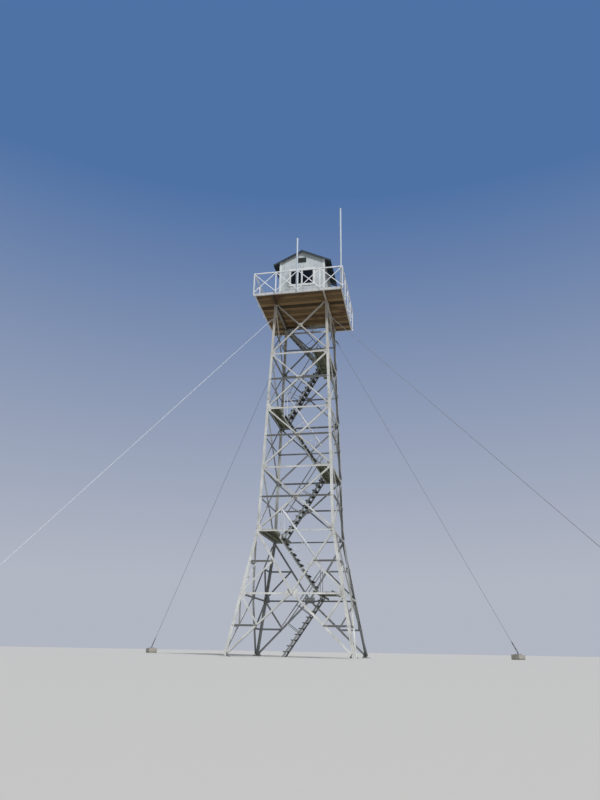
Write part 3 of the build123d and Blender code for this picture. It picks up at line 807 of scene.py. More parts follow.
# Bolts on the legs of a lower side: height of the joint and heights of its bolts over it
LOWER_LEG_BOLTS = ((RING_Z, (-0.09, -0.03, 0.04, 0.10)), (LOW_MID_Z - 0.037, (-0.02, 0.02)),
                   (HIGH_MID_Z - 0.037, (-0.02, 0.02)), (0.30, (-0.10, 0.0, 0.10)),
                   (KINK_Z - 0.30, (-0.05, 0.05)))


def upper_spots(top_bars):
    """Where the bolts of an upper side go: on the legs' faces and on the bracing's."""
    on_leg, on_brace = [], []
    for i in range(PANELS):
        z0, cross = KINK_Z + PANEL_H * i, CROSS_Z[i]
        for sign in (-1, 1):
            edge = sign * half_at(z0)
            on_leg += [(edge - sign * inset, z0 + dz) for inset, dz in PANEL_LEG_BOLTS]
            on_brace += [(edge - sign * inset, z0 + dz) for inset, dz in PANEL_BRACE_BOLTS]
            edge = sign * half_at(cross)
            if top_bars or i < PANELS - 1:
                on_leg += [(edge - sign * inset, cross) for inset in (0.045, 0.090)]
        on_brace += [(0, cross)] + [(u * 0.062, cross + w * 0.052) for u in (-1, 1) for w in (-1, 1)]
    for sign in (-1, 1):
        edge = sign * half_at(LEG_TOP_Z)
        on_leg += [(edge - sign * 0.045, LEG_TOP_Z - 0.06), (edge - sign * 0.085, LEG_TOP_Z - 0.11)]
    return on_leg, on_brace


def lower_spots():
    """Where the bolts of a lower side go."""
    on_leg, on_brace = [], []
    for sign in (-1, 1):
        for z, rows in LOWER_LEG_BOLTS:
            for k, dz in enumerate(rows):
                inset = 0.045 if k % 2 else 0.088
                on_leg.append((sign * (half_at(z + dz) - inset), z + dz))
        on_brace += [(sign * (half_at(RING_Z) - 0.17), RING_Z + dz) for dz in (-0.09, -0.03, 0.06)]
        for x, z in ((PORTAL_X, LOW_MID_Z - 0.02), (PORTAL_X + 0.08, LOW_MID_Z - 0.037),
                     (VEE_X, HIGH_MID_Z - 0.05), (VEE_X + 0.08, HIGH_MID_Z - 0.037),
                     (0.16, RING_Z - 0.09), (0.16, RING_Z - 0.03), (0.13, RING_Z + 0.09),
                     (0.06, RING_Z - 0.04)):
            on_brace.append((sign * x, z))
    return on_leg, on_brace


def cover_plates(z, lengths):
    """Plates on the front flanges of both legs at z. A length is a stage and two heights on it."""
    plates = []
    for sign in (-1, 1):
        edge = sign * half_at(z)
        for stage, low, high in lengths:
            plate = block((edge - sign * 0.012, low, 0), (edge - sign * 0.108, high, SPLICE_T), 0.0015)
            plates.append(copied(plate, stage.at(0, z)))
            drop(plate)
    return plates


def add_side_fittings():
    """Bolts and plates of the four sides."""
    bolt = hex_bolt()
    lower, upper = SidePlane(0, KINK_Z), SidePlane(KINK_Z, LEG_TOP_Z)
    rows = ((lower, KINK_Z, (-0.20, -0.13, -0.06)), (upper, KINK_Z, (0.06, 0.13, 0.20)),
            (upper, SPLICE_Z, (-0.17, -0.09, 0.09, 0.17)))
    for side, angle in SIDES.items():
        turn = turned(angle, "Z")
        spots = []
        for stage, (on_leg, on_brace) in ((lower, lower_spots()), (upper, upper_spots(side != "front"))):
            spots += [stage.at(x, z, 0) for x, z in on_leg]
            spots += [stage.at(x, z, -stage.skin) for x, z in on_brace]
        plates = cover_plates(KINK_Z, ((lower, -0.24, 0.0), (upper, 0.0, 0.24)))
        plates += cover_plates(SPLICE_Z, ((upper, -0.21, 0.21),))
        for sign in (-1, 1):
            for inset in (0.036, 0.084):
                for stage, joint_z, steps in rows:
                    for z in (joint_z + dz for dz in steps):
                        spots.append(stage.at(sign * (half_at(z) - inset), z, SPLICE_T))
        pieces = [copied(bolt, turn @ spot) for spot in spots]
        for plate in plates:
            put(plate, turn)
        finished(joined(pieces), f"bolts_{side}", "brace_paint")
        finished(joined(plates), f"splice_plates_{side}", "leg_paint")
    drop(bolt)


def add_base_bolts():
    """Anchor bolts with nuts through the base plates, and ribs between plate and leg."""
    foot, edge, top = BASE_HALF - 0.06, half_at(0.10), BASE_PLATE_T
    for corner, angle in CORNERS.items():
        pieces = []
        for x in (foot - BASE_BOLT_APART / 2, foot + BASE_BOLT_APART / 2):
            for low, high, radius, sides, bevel in ((0.0, 0.080, 0.0120, 12, 0.002),
                                                    (top, top + 0.004, 0.024, 16, 0.0),
                                                    (top + 0.004, top + 0.023, 0.0205, 6, 0.002)):
                pieces.append(rod((x, -foot, low), (x, -foot, high), radius, sides, bevel))
        rib = block((-0.10, -0.005, 0.0), (0.0, 0.005, 0.16))
        cut(rib, (-0.10, 0, 0.03), (-0.13, 0, 0.10))
        pieces.append(copied(rib, moved(edge - 0.11, -edge + 0.006, top)))
        pieces.append(copied(rib, moved(edge - 0.006, -edge + 0.11, top) @ turned(-90, "Z")))
        drop(rib)
        finished(put(joined(pieces), turned(angle, "Z")), f"base_bolts_{corner}", "anchor_steel")


# Stair

def make_tread(width):
    """A folded tread: a plate with its front edge and back edge turned down, its nose in front at x = 0."""
    rest()
    bpy.ops.mesh.primitive_plane_add(size=1, location=(TREAD_GOING / 2, 0, 0))
    sheet = bpy.context.object
    sheet.scale = (TREAD_GOING, width, 1)
    settle(sheet)
    for x, depth in ((0.0, NOSE_LIP), (TREAD_GOING, BACK_LIP)):
        pick_edges(sheet, lambda *ends: all(abs(co.x - x) < 1e-4 and abs(co.z) < 1e-4 for co in ends))
        bpy.ops.mesh.extrude_region_move(TRANSFORM_OT_translate={"value": (0, 0, -depth)})
        close(sheet)
    wall = sheet.modifiers.new("wall", "SOLIDIFY")
    wall.thickness = TREAD_T
    wall.offset = -1
    take(sheet)
    bpy.ops.object.modifier_apply(modifier="wall")
    parts = [sheet]
    for x in GRIP_STRIPS:
        parts.append(block((x, -width / 2 + 0.02, -0.001), (x + 0.010, width / 2 - 0.02, 0.0)))
    for sign in (-1, 1):
        for outer, inner, low in ((0.001, 0.032, -0.009), (0.0, 0.005, -0.045)):
            parts.append(block((0.02, sign * (width / 2 - outer), low),
                               (TREAD_GOING - 0.02, sign * (width / 2 - inner), -0.004)))
    return joined(parts)


def make_stringer(run, rise, pitch, depth, below, butt):
    """A channel along the slope, open along +Y, ended level at the head, level or upright at the foot."""
    channel = block((-0.45, -0.008, -depth / 2), (math.hypot(run, rise) + 0.45, 0.024, depth / 2), 0.002)
    hollow(channel, lambda face: face.normal.y > 0.9, 0.007, 0.026)
    put(channel, moved(0, 0, -below) @ Matrix.Rotation(-pitch, 4, "Y"))
    cut(channel, (0, 0, rise - 0.05), (0, 0, 1))
    cut(channel, (run + 0.045, 0, 0), (1, 0, 0))
    if butt:
        return cut(channel, (butt, 0, 0), (-1, 0, 0))
    return cut(channel, (0, 0, 0), (0, 0, -1))


def handrail_parts(run, rise, pitch, y, plate_y, radius, under, below):
    """A round rail on two raking posts and an upright one at its head, with their foot plates."""
    up = Vector((0, 0, HANDRAIL_H))
    slope = Vector((math.cos(pitch), 0, math.sin(pitch)))
    rake = Vector((-math.sin(pitch), 0, math.cos(pitch)))
    reach = HANDRAIL_H * math.cos(pitch)
    a, b = (Vector((x, y, rise * x / run)) for x in (0.06, run - 0.06))
    parts = [rod(a + up, b + up, radius, 12, 0.004)]
    for share in POST_SHARES:
        nose = Vector((run * share, y, rise * share))
        foot, top = nose - rake * under, nose + rake * reach
        parts.append(rod(nose - rake * (under + 0.03), top, POST_R, 12))
        plate = block((-0.028, -0.006, -0.032), (0.028, 0.006, 0.032), 0.002)
        parts.append(put(plate, moved(foot.x, plate_y, foot.z) @ Matrix.Rotation(-pitch, 4, "Y")))
        parts.append(rod(top - slope * 0.022, top + slope * 0.022, radius + 0.003, 12, 0.002))
    low = b.z - below - 0.02
    parts.append(rod((b.x, y, low), b + up, POST_R, 12))
    parts.append(block((b.x - 0.028, plate_y - 0.006, low), (b.x + 0.028, plate_y + 0.006, b.z - 0.05),
                       0.002))
    return parts


def add_flight(number, foot, head, y_mid, half_width, rails, rail_paint, butt=None,
               depth=STRINGER, under=STRINGER_UNDER_NOSES):
    """One flight: two slim channel stringers, folded treads and round handrails on posts.

    butt is how far from the foot the stringers end against the edge of a landing."""
    going = 1 if head[0] > foot[0] else -1
    run, rise = abs(head[0] - foot[0]), head[1] - foot[1]
    pitch = math.atan2(rise, run)
    below = under / math.cos(pitch)
    channel = make_stringer(run, rise, pitch, depth, below, butt)
    steel = [copied(channel, moved(0, -half_width, 0) @ MIRROR_Y),
             copied(channel, moved(0, half_width, 0))]
    tread, bolt = make_tread(2 * half_width - 0.017), hex_bolt(0.7)
    treads = []
    steps = round(rise / TREAD_RISE)
    for i in range(1, steps):
        x, z = run * i / steps, rise * i / steps
        treads.append(copied(tread, moved(x - 0.02, 0, z)))
        for sign in (-1, 1):
            for dx in (0.095, 0.140):
                face = moved(x + dx, sign * half_width, z - 0.026) @ turned(-90 * sign, "X")
                treads.append(copied(bolt, face))
    drop(channel, tread, bolt)
    bars = []
    for sign in rails:
        y = sign * (half_width + 0.020)
        radius = THICK_HANDRAIL_R if number == 2 and sign < 0 else HANDRAIL_R
        bars += handrail_parts(run, rise, pitch, y, y - sign * 0.014, radius, under, below)
    place = moved(foot[0], y_mid, foot[1]) @ Matrix.Scale(going, 4, (1, 0, 0))
    for pieces, name, paint, nodes, smooth in (
            (steel, f"stair_stringers_{number}", "stair_paint", [f"stair_flight_{number}"], None),
            (treads, f"stair_treads_{number}", "tread_paint", [], None),
            (bars, f"stair_handrails_{number}", rail_paint, [], 35)):
        finished(put(joined(pieces), place), name, paint, nodes, smooth)


def add_stair():
    """Six flights from the ground to the deck."""
    floors = [0] + [z + LANDING_T for z in LANDING_Z]
    floors[1] += FIRST_LANDING_LIFT
    for i in range(5):
        going = 1 if i % 2 == 0 else -1
        edge = TOP_LANDING_EDGE if i == 4 else LANDING_EDGE
        # Painted light and shade: the front lane's handrails take the white railing paint as if sunlit, the
        # rear lane's the grey one as if in shade.
        add_flight(i + 1, (-going * FLIGHT_FOOT, floors[i]), (going * edge, floors[i + 1]), going * LANE,
                   FLIGHT_HALF, (-1, 1), "handrail_paint" if going > 0 else "rail_paint",
                   FLIGHT_FOOT - LANDING_EDGE + 0.001 if i else None)
    add_flight(6, (LAST_FLIGHT_FOOT, floors[5]), (HATCH_LEFT, DECK_TOP), LAST_FLIGHT_Y, LAST_FLIGHT_HALF,
               (1,), "handrail_paint", depth=0.16, under=0.09)


# Landings

def tray(low, high):
    """A floor plate with its edges turned down, open beneath."""
    piece = block(low, high, 0.002)
    return hollow(piece, lambda face: face.normal.z < -0.9, 0.010, high[2] - low[2] - 0.006)


def rib(edge, end, y, low, high):
    """A flat rib along X inside a tray."""
    return block((edge + 0.01, y - 0.004, low + 0.004), (end - 0.01, y + 0.004, high - 0.005))


def channel_beam(x, half, top, way):
    """A channel along Y under a landing, open towards way along X."""
    piece = block((x, -half, top - BEAM_H), (x + BEAM_WIDTH, half, top), 0.002)
    return hollow(piece, lambda face: face.normal.x * way > 0.9, 0.007, BEAM_WIDTH - 0.007)


def landing_parts(edge, end, half, level, bays, second_beam, beam_half):
    """A tray, and the ribs and the two channel beams under it."""
    top = level + LANDING_T
    trays = [tray((edge, -half, level), (end, half, top))]
    ribs = [rib(edge, end, -half + 2 * half * k / bays, level, top) for k in range(1, bays)]
    ribs += [channel_beam(edge, beam_half, level, 1), channel_beam(second_beam, beam_half, level, -1)]
    return trays, ribs


def finish_landing(number, trays, ribs, side=1):
    """The tray and, as a second piece, the ribs and beams under it."""
    for pieces, name, paint, nodes in ((trays, "landing_tray", "landing_rim_paint", [f"landing_{number}"]),
                                       (ribs, "landing_beams", "landing_steel", [])):
        piece = joined(pieces)
        if side < 0:
            put(piece, MIRROR_X)
        finished(piece, f"{name}_{number}", paint, nodes)


def add_landing(number, level, side, edge, extension=False):
    """A landing inside the legs. The top one has an extension for the last flight."""
    top = level + LANDING_T
    outer = half_at(top) - 0.02
    beam_half = half_at(level) - LEG_WALL - 0.06 - 0.025
    trays, ribs = landing_parts(edge, outer, outer, level, 6, (edge + outer) / 2, beam_half)
    if extension:
        reach = half_at(level) - 0.23 - 0.015
        trays.append(tray((edge, 1.0, level + 0.0005), (reach, 2.04, top - 0.0005)))
        ribs += [rib(edge, reach, y, level, top) for y in (1.35, 1.70)]
    finish_landing(number, trays, ribs, side)


def add_first_landing():
    """The lowest landing on its two long channel beams."""
    level = RING_Z + FIRST_LANDING_LIFT
    end = LANDING_EDGE + FIRST_LANDING_WIDTH
    trays, ribs = landing_parts(LANDING_EDGE, end, FIRST_LANDING_HALF, level, 5, end - BEAM_WIDTH,
                                half_at(level) - 0.02)
    finish_landing(1, trays, ribs)


# Platform

def add_deck():
    """Sawn planks laid across the joists, a little uneven, with nail heads."""
    boards, nails = [], []
    nail = rod((0, 0, 0), (0, 0, 0.0015), 0.006, 6)
    for y0, y1, x0, x1, nail_rows in (
            (-DECK_HALF, HATCH_FRONT, -DECK_HALF, DECK_HALF, (-JOIST_X, JOIST_X, -RIM_NAILS_X, RIM_NAILS_X)),
            (HATCH_FRONT, DECK_HALF, -DECK_HALF, HATCH_LEFT, (-JOIST_X, -RIM_NAILS_X)),
            (HATCH_FRONT, DECK_HALF, HATCH_RIGHT, DECK_HALF, (HATCH_JOIST_X, JOIST_X, RIM_NAILS_X))):
        count = round((y1 - y0) / PLANK)
        width = (y1 - y0) / count
        for i in range(count):
            y = y0 + width * i
            top = DECK_TOP - 0.001 - random.uniform(0, 0.003)
            left, right = x0 + random.uniform(0, 0.006), x1 - random.uniform(0, 0.006)
            boards.append(block((left, y, DECK_UNDER), (right, y + width - PLANK_GAP, top), 0.004, 2))
            nails += [copied(nail, moved(x, y + width * share, top)) for x in nail_rows
                      for share in (0.25, 0.75)]
    finished(joined(boards), "deck_boards", "deck_wood", nodes=["deck_planks"])
    finished(joined(nails), "deck_nails", "anchor_steel")
    drop(nail)


def add_railing_fittings():
    """Bolts where the railing's bars cross, where they end on the posts, and through the edge angles."""
    bolt = hex_bolt(0.75)
    step = (2 * PLATFORM_HALF + 0.05) / 4
    posts = [-PLATFORM_HALF - 0.025 + step * i for i in range(5)]
    low = DECK_UNDER - EDGE_WALL + EDGE_H + 0.02
    high = RAIL_TOP - 0.05
    for side, angle in SIDES.items():
        spots = [((x0 + x1) / 2, (low + high) / 2) for x0, x1 in zip(posts, posts[1:])]
        for x in (posts if side in ("front", "rear") else posts[1:-1]):
            spots += [(x, DECK_UNDER + 0.025), (x, DECK_UNDER + 0.085)]
            if abs(x) > PLATFORM_HALF - 0.05:
                x *= 0.995
            spots += [(x, low + 0.035), (x, high - 0.035)]
        pieces = []
        for x, z in spots:
            facing = moved(x, -PLATFORM_HALF - 0.05, z) @ turned(90, "X")
            pieces.append(copied(bolt, turned(angle, "Z") @ facing))
        finished(joined(pieces), f"railing_bolts_{side}", "rail_paint")
    drop(bolt)


# Cabin

def core_of(node, axis, face, by):
    """A wall's inner body: a copy of the node with its outer face set back."""
    core = copied(frame["nodes"][node], Matrix.Identity(4))
    core.parent = None
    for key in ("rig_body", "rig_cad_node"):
        if key in core:
            del core[key]
    open_whole(core)
    bpy.ops.mesh.remove_doubles(threshold=0.0001)
    close(core)
    for vertex in core.data.vertices:
        if abs(vertex.co[axis] - face) < 1e-3:
            vertex.co[axis] += by
    return core


def cut_to_roof(board, sign):
    """Cut a board off under one slope of the roof."""
    return cut(board, (0, 0, APEX_Z - 0.001), (sign * SLOPE, 0, 1))


def upright_boards(gaps, gabled):
    """Upright boards along X on the plane y = 0, each cut round the gaps (x0, x1, z0, z1)."""
    boards = []
    half = CABIN_HALF - 0.03
    width = 2 * half / BOARDS_PER_WALL
    top = APEX_Z + 0.01 if gabled else EAVE_Z - 0.002
    for i in range(BOARDS_PER_WALL):
        x0, x1 = -half + width * i, -half + width * (i + 1)
        spans = [(DECK_TOP + 0.001, top)]
        for gx0, gx1, gz0, gz1 in gaps:
            if x0 < gx1 - 0.001 and x1 > gx0 + 0.001:
                spans = [span for a, b in spans for span in ((a, gz0), (gz1, b)) if span[1] - span[0] > 0.02]
        for a, b in spans:
            out = random.uniform(0.0, 0.0015)
            board = block((x0 + 0.0015, out, a), (x1 - 0.0015, 0.018, b), 0.003)
            if gabled and b > APEX_Z - SLOPE * max(abs(x0), abs(x1)):
                for sign in (-1, 1):
                    cut_to_roof(board, sign)
            boards.append(board)
    return boards


def add_cabin_walls():
    """Boarded walls, each an inner body behind upright boards, and corner boards."""
    window = (-WINDOW_HALF, WINDOW_HALF, SILL_Z, SILL_Z + WINDOW_H)
    door = (-DOOR_HALF, DOOR_HALF, DECK_TOP - 0.1, DECK_TOP + DOOR_H)
    for side, gaps, gabled, paint, axis, way in (("front", [window], True, "cabin_boards", 1, -1),
                                                 ("rear", [door], True, "cabin_boards", 1, 1),
                                                 ("right", [], False, "side_boards", 0, 1),
                                                 ("left", [], False, "side_boards", 0, -1)):
        piece = joined(upright_boards(gaps, gabled))
        put(piece, turned(SIDES[side], "Z") @ moved(0, -CABIN_HALF, 0))
        core = core_of(f"cabin_wall_{side}", axis, way * CABIN_HALF, -way * BOARD_T)
        finished(joined([core, piece]), f"boarded_wall_{side}", paint,
                 [f"cabin_wall_{side}"])
    corners = []
    for sx in (-1, 1):
        for sy in (-1, 1):
            for x0, x1, y0, y1 in ((0.012, -0.075, 0.012, -0.02), (0.0118, -0.02, -0.02, -0.085)):
                board = block((sx * (CABIN_HALF + x0), sy * (CABIN_HALF + y0), DECK_TOP),
                              (sx * (CABIN_HALF + x1), sy * (CABIN_HALF + y1), EAVE_Z + 0.03), 0.003)
                corners.append(cut_to_roof(board, sx))
    finished(joined(corners), "corner_boards", "window_paint")


def add_vent():
    """A small louvre vent in the front gable."""
    z0, half, face = DECK_TOP + 2.29, VENT_HALF, -CABIN_HALF
    case = block((-half, face - 0.018, z0), (half, face + 0.01, z0 + VENT_H), 0.003)
    parts = [hollow(case, lambda side: side.normal.y < -0.9, 0.022, 0.016)]
    for k in range(VENT_SLATS):
        slat = block((-half + 0.02, -0.002, -0.016), (half - 0.02, 0.002, 0.016), 0.001)
        parts.append(put(slat, moved(0, face - 0.006, z0 + 0.046 + k * SLAT_STEP) @ turned(-38, "X")))
    finished(joined(parts), "gable_vent", "vent_paint")


def ring_board(low, high, rim, bevel=0.002):
    """A frame in one piece, flat in the window's plane: a board with its middle taken out."""
    board = block(low, high, bevel)
    pick(board, lambda face: abs(face.normal.y) > 0.9)
    bpy.ops.mesh.inset(thickness=rim, depth=0)
    bpy.ops.mesh.bridge_edge_loops()
    return close(board)


def add_window_joinery():
    """The window's casing and lining, its middle post, two slim sashes and their panes."""
    face, w, z0, z1 = -CABIN_HALF, WINDOW_HALF, SILL_Z, SILL_Z + WINDOW_H
    casing, lining, rim, post, snug = 0.09, 0.010, 0.015, 0.025, 0.0003
    parts = [ring_board((-w - casing, face - 0.020, z0 - casing),
                        (w + casing, face + snug, z1 + casing), casing + 0.009, 0.003),
             ring_board((-w + snug, face, z0 + snug), (w - snug, face + 0.05, z1 - snug), lining, 0.001),
             block((-post, face - 0.018, z0 + lining), (post, face + 0.05, z1 - lining), 0.003)]
    panes = []
    for sign in (-1, 1):
        x0, x1 = sorted((sign * post, sign * (w - lining)))
        parts.append(ring_board((x0, face - 0.012, z0 + lining), (x1, face + 0.014, z1 - lining), rim))
        panes.append(block((x0 + rim - 0.004, face - 0.003, z0 + lining + rim - 0.004),
                           (x1 - rim + 0.004, face + 0.003, z1 - lining - rim + 0.004), 0.0005))
    finished(joined(parts), "window_joinery", "window_paint", nodes=["window_frame"])
    finished(joined(panes), "window_panes", "window_panes", nodes=["window_glass"])


def add_door_joinery():
    """Planks, ledges, hinges and a pull on the rear door, and a plain trim round it."""
    inner, outer, gap = CABIN_HALF - 0.08, CABIN_HALF - 0.035, 0.003
    floor, head = DECK_TOP, DECK_TOP + DOOR_H
    width = 2 * (DOOR_HALF - gap) / DOOR_PLANKS
    leaf = []
    for i in range(DOOR_PLANKS):
        x = -DOOR_HALF + gap + width * i
        leaf.append(block((x + 0.001, inner + 0.022, floor + 0.012), (x + width - 0.001, outer, head - gap),
                          0.003))
    for z in (floor + height for height in LEDGE_HEIGHTS):
        leaf.append(block((-DOOR_HALF + 0.02, inner + 0.002, z), (DOOR_HALF - 0.02, inner + 0.024, z + 0.12),
                          0.004))
    finished(joined(leaf), "door_planks", "door_boards", nodes=["cabin_door"])
    iron = []
    for z in (floor + height for height in HINGE_HEIGHTS):
        iron.append(block((-DOOR_HALF - 0.05, outer, z), (0.12, outer + 0.005, z + 0.035), 0.001))
        x, y = -DOOR_HALF - 0.012, outer + 0.008
        iron.append(rod((x, y, z - 0.008), (x, y, z + 0.043), 0.008, 10, 0.002))
    x, y = PULL_X, outer + 0.035
    iron.append(rod((x, y, floor + 0.93), (x, y, floor + 1.08), 0.008, 10, 0.002))
    for z in (floor + 0.94, floor + 1.07):
        iron.append(rod((x, outer, z), (x, y, z), 0.007, 8))
    iron.append(block((x - 0.03, outer, floor + 0.88), (x + 0.03, outer + 0.003, floor + 1.13), 0.001))
    finished(joined(iron), "door_ironwork", "anchor_steel")
    back, trim = CABIN_HALF - 0.004, []
    for sign in (-1, 1):
        trim.append(block((sign * (DOOR_HALF + 0.001), back, floor),
                          (sign * (DOOR_HALF + 0.075), CABIN_HALF + 0.018, head + 0.08), 0.003))
    trim.append(block((-DOOR_HALF - 0.075, back, head + 0.001),
                      (DOOR_HALF + 0.075, CABIN_HALF + 0.0185, head + 0.08), 0.003))
    trim.append(block((-DOOR_HALF, inner + 0.01, floor), (DOOR_HALF, CABIN_HALF + 0.03, floor + 0.012),
                      0.003))
    finished(joined(trim), "door_trim", "window_paint")


def add_roof():
    """Corrugated sheets with battens on both slopes, barge boards and a ridge cap."""
    length = math.hypot(ROOF_REACH, SLOPE * ROOF_REACH)
    depth = ROOF_REAR - ROOF_FRONT
    tilt = Matrix.Rotation(math.atan(SLOPE), 4, "Y")
    width = depth / ROOF_WAVES
    rest()
    bpy.ops.mesh.primitive_grid_add(x_subdivisions=1, y_subdivisions=8, size=1)
    strip = bpy.context.object
    strip.scale = (length, width, 1)
    settle(strip)
    for vertex in strip.data.vertices:
        vertex.co.x += length / 2
        vertex.co.y += width / 2
        vertex.co.z = ROOF_WAVE_H * math.cos(2 * math.pi * vertex.co.y / width)
    again = strip.modifiers.new("repeat", "ARRAY")
    again.count = ROOF_WAVES
    again.use_relative_offset = False
    again.use_constant_offset = True
    again.constant_offset_displace = (0, width, 0)
    again.use_merge_vertices = True
    wall = strip.modifiers.new("wall", "SOLIDIFY")
    wall.thickness = ROOF_SHEET_T
    take(strip)
    bpy.ops.object.modifier_apply(modifier="repeat")
    bpy.ops.object.modifier_apply(modifier="wall")
    parts = [strip]
    for x in BATTEN_X:
        parts.append(block((x, 0.04, -0.029), (x + 0.05, depth - 0.04, -0.0085)))
    right = put(joined(parts), moved(0, ROOF_FRONT, APEX_Z + 0.029) @ tilt @ moved(0.003, 0, 0))
    left = copied(right, MIRROR_X)
    for side, piece in (("right", right), ("left", left)):
        finished(piece, f"corrugated_roof_{side}", "roof_sheet", nodes=[f"roof_{side}"], smooth=40)
    trim = []
    for y0, y1 in ((ROOF_FRONT, ROOF_FRONT + 0.022), (ROOF_REAR - 0.022, ROOF_REAR)):
        board = block((0, y0, -0.062), (length, y1, 0.0), 0.002)
        put(board, moved(0, 0, APEX_Z + 0.018) @ tilt)
        trim.append(cut(board, (0, 0, 0), (-1, 0, 0)))
    cap = block((-0.004, ROOF_FRONT, 0.0), (0.11, ROOF_REAR, 0.003))
    trim.append(put(cap, moved(0, 0, APEX_Z + 0.0365) @ tilt))
    trim = [copied(piece, MIRROR_X) for piece in trim] + trim
    finished(joined(trim), "roof_trim", "roof_sheet")


# Masts

def add_mast_fittings():
    """Caps, foot flanges and clamps on the two masts. The short one's flange is bolted down."""
    y, face = -PLATFORM_HALF + EDGE_WALL + MAST_R, -PLATFORM_HALF - 0.03
    flange_top = DECK_TOP + 0.010
    parts = []
    bolt = hex_bolt(0.8)
    for (x, height), bolts in ((TALL_MAST, 0), (SHORT_MAST, 4)):
        top = DECK_TOP + height
        parts.append(rod((x, y, top - 0.05), (x, y, top), MAST_R + 0.004, 20, 0.003))
        parts.append(rod((x, y, DECK_TOP), (x, y, flange_top), 0.082 if bolts else 0.060, 20, 0.002))
        z = RAIL_TOP - 0.055
        parts.append(rod((x, y, z), (x, y, z + 0.045), MAST_R + 0.006, 20, 0.002))
        parts.append(block((x - 0.045, face, z + 0.004), (x + 0.045, y, z + 0.041), 0.002))
        z = DECK_TOP + 0.35
        parts.append(rod((x, y, z), (x, y, z + 0.045), MAST_R + 0.006, 20, 0.002))
        for k in range(bolts):
            a = math.radians(45 + 90 * k)
            parts.append(copied(bolt, moved(x + 0.066 * math.cos(a), y + 0.066 * math.sin(a), flange_top)))
    drop(bolt)
    finished(joined(parts), "mast_fittings", "mast_paint", smooth=35)


# Guys

GUY_TOP = Vector((half_at(GUY_Z) * 2 ** 0.5 + LUG_REACH - PIN_INSET, GUY_Z - PIN_INSET))


def guy_matrix(ground):
    """Where the front right guy lies: X along the rope from its upper pin, Y across the jaws."""
    foot = Vector((ground * 2 ** 0.5, BLOCK_H + ANCHOR_PLATE_T + PIN_RISE))
    way = foot - GUY_TOP
    half_root = 0.5 ** 0.5
    plane = Matrix(((half_root, 0, -half_root, 0), (-half_root, 0, -half_root, 0),
                    (0, 1, 0, 0), (0, 0, 0, 1)))
    turn = math.degrees(math.atan2(way.y, way.x))
    return plane @ moved(GUY_TOP.x, GUY_TOP.y, 0) @ turned(turn, "Z") @ turned(90, "X"), way.length


def make_rope(start, end):
    """A six strand wire rope along X: a lobed section drawn out and twisted."""
    rest()
    length = end - start
    bpy.ops.mesh.primitive_circle_add(vertices=2 * STRANDS, radius=ROPE_R, fill_type="NGON")
    rope = bpy.context.object
    for i, vertex in enumerate(rope.data.vertices):
        if i % 2:
            vertex.co *= STRAND_VALLEY
    open_whole(rope)
    bpy.ops.mesh.extrude_region_move(TRANSFORM_OT_translate={"value": (0, 0, length)})
    close(rope)
    rings = 1
    for cuts in (27, 29):
        pick_edges(rope, lambda a, b: abs(a.z - b.z) > 0.01)
        bpy.ops.mesh.subdivide(number_cuts=cuts)
        close(rope)
        rings *= cuts + 1
    # Cutting up such long edges leaves small errors that change from run to run
    for vertex in rope.data.vertices:
        vertex.co.z = round(vertex.co.z * rings / length) * length / rings
    twist = rope.modifiers.new("lay", "SIMPLE_DEFORM")
    twist.deform_method = "TWIST"
    twist.deform_axis = "Z"
    twist.angle = 2 * math.pi * length / ROPE_LAY
    bpy.ops.object.modifier_apply(modifier="lay")
    open_whole(rope)
    bpy.ops.mesh.normals_make_consistent(inside=False)
    close(rope)
    return put(rope, moved(start, 0, 0) @ turned(90, "Y"))


def jaw(pin, way):
    """Two cheeks joined by a web, with the pin, its head and its nut; way points to the rope."""
    parts = []
    gap, cheek_t = 0.0065, 0.008
    for sign in (-1, 1):
        cheek = block((-0.030, sign * gap, -0.030), (JAW_L, sign * (gap + cheek_t), 0.030))
        pick_edges(cheek, lambda a, b: abs(a.y - b.y) > 0.004 and a.x < 0)
        bpy.ops.mesh.bevel(offset=0.022, segments=4, affect="EDGES")
        parts.append(close(cheek))
        parts.append(rod((0, sign * (gap + cheek_t), 0), (0, sign * (gap + 0.020), 0), 0.019, 6, 0.002))
    parts.append(rod((0, -gap - 0.028, 0), (0, gap + 0.028, 0), 0.0105, 12, 0.002))
    parts.append(block((JAW_L - 0.040, -gap, -0.030), (JAW_L, gap, 0.030)))
    piece = joined(parts)
    if way < 0:
        put(piece, turned(180, "Z"))
    return put(piece, moved(pin, 0, 0))


def turnbuckle(start, end):
    """An open turnbuckle: two side bars between end blocks, with threaded rods and lock nuts."""
    parts = []
    for sign in (-1, 1):
        parts.append(block((start + 0.02, -0.012, sign * 0.038),
                           (end - 0.02, 0.012, sign * 0.020), 0.003, 2))
    for x0, x1 in ((start, start + 0.05), (end - 0.05, end)):
        parts.append(block((x0, -0.012, -0.038), (x1, 0.012, 0.038), 0.004, 2))
    middle = (start + end) / 2
    for a, b in ((start - 0.005, middle - 0.06), (middle + 0.06, end + 0.005)):
        parts.append(rod((a, 0, 0), (b, 0, 0), 0.0095, 10, 0.002))
        for k in range(THREADS):
            x = a + (b - a) * (k + 0.5) / THREADS
            parts.append(rod((x - 0.002, 0, 0), (x + 0.002, 0, 0), 0.0112, 10))
    for x0, x1 in ((start + 0.05, start + 0.066), (end - 0.066, end - 0.05)):
        parts.append(rod((x0, 0, 0), (x1, 0, 0), 0.018, 6, 0.001))
    return joined(parts)


def socket(middle, quarter):
    """A tapered socket on the end of the rope."""
    bpy.ops.object.select_all(action="DESELECT")
    bpy.ops.mesh.primitive_cone_add(vertices=16, radius1=0.0195, radius2=0.0125, depth=SOCKET_L)
    return put(bpy.context.object, moved(middle, 0, 0) @ turned(quarter, "Y"))


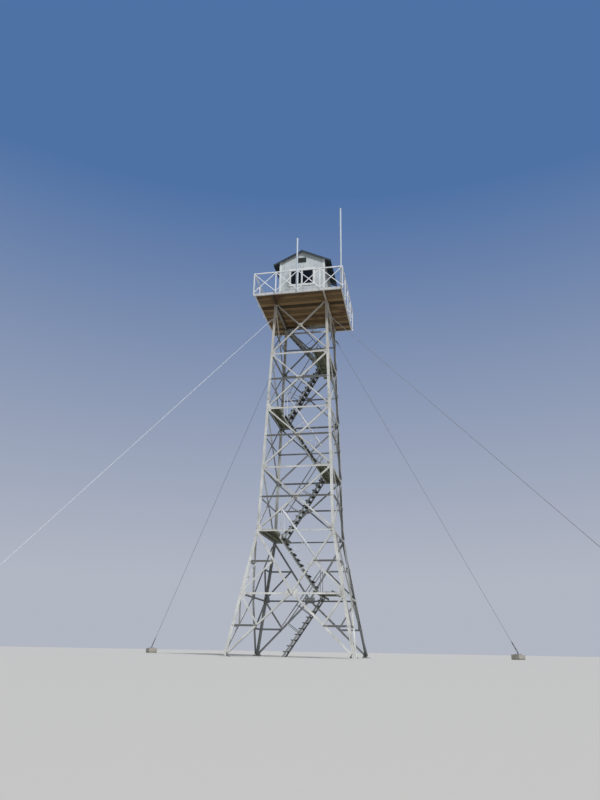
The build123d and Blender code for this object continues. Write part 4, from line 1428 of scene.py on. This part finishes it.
def add_guys():
    """Four guys: wire rope with sockets, jaws and turnbuckles."""
    ropes, fittings = {}, {}
    for corner, ground in GUY_GROUND.items():
        matrix, span = guy_matrix(ground)
        if ground not in ropes:
            rope_end = span - JAW_L - TURNBUCKLE_L
            ropes[ground] = make_rope(JAW_L - 0.002, rope_end + 0.004)
            fittings[ground] = joined([
                jaw(0, 1), jaw(span, -1), turnbuckle(rope_end, rope_end + TURNBUCKLE_L),
                socket(JAW_L - 0.005 + SOCKET_L / 2, 90), socket(rope_end - SOCKET_L / 2, -90)])
        place = turned(CORNERS[corner], "Z") @ matrix
        # Painted light: the front left rope takes the lit copy of the rope zinc.
        rope_paint = "sunlit_rope" if corner == "front_left" else "guy_rope"
        for pattern, name, paint, nodes, smooth in (
                (ropes[ground], "wire_rope", rope_paint, [f"guy_{corner}"], None),
                (fittings[ground], "guy_fittings", "anchor_steel", [], 35)):
            finished(copied(pattern, place), f"{name}_{corner}", paint, nodes, smooth)
    drop(*ropes.values(), *fittings.values())


def add_anchors():
    """Rough concrete blocks, and nuts on the anchor plates."""
    bolt = hex_bolt(1.3)
    nuts, blocks = [], []
    for corner, ground in GUY_GROUND.items():
        across = ground * 2 ** 0.5
        plane = turned(CORNERS[corner] - 45, "Z")
        casting = block((-BLOCK_HALF, -BLOCK_HALF, 0), (BLOCK_HALF, BLOCK_HALF, BLOCK_H), 0.020, 2)
        open_whole(casting)
        bpy.ops.mesh.subdivide(number_cuts=7)
        close(casting)
        for vertex in casting.data.vertices:
            if 0.01 < vertex.co.z < BLOCK_H - 0.004:
                shrink = 1 - random.uniform(0.0, 0.012)
                vertex.co.x *= shrink
                vertex.co.y *= shrink
        blocks.append(put(casting, plane @ moved(across, 0, 0)))
        for x in (across - 0.10, across + 0.10):
            for y in (-0.10, 0.10):
                nuts.append(copied(bolt, plane @ moved(x, y, BLOCK_H + ANCHOR_PLATE_T)))
    drop(bolt)
    finished(joined(blocks), "cast_blocks", "anchor_concrete", nodes=["anchor_blocks"])
    finished(joined(nuts), "anchor_nuts", "anchor_steel")


add_camera()
add_light()
add_floor()
add_side_fittings()
add_base_bolts()
add_stair()
add_first_landing()
for i in (1, 2, 3):
    add_landing(i + 1, LANDING_Z[i], 1 if i % 2 == 0 else -1, LANDING_EDGE)
add_landing(5, LANDING_Z[4], 1, TOP_LANDING_EDGE, extension=True)
add_deck()
add_railing_fittings()
add_cabin_walls()
add_vent()
add_window_joinery()
add_door_joinery()
add_roof()
add_mast_fittings()
add_guys()
add_anchors()
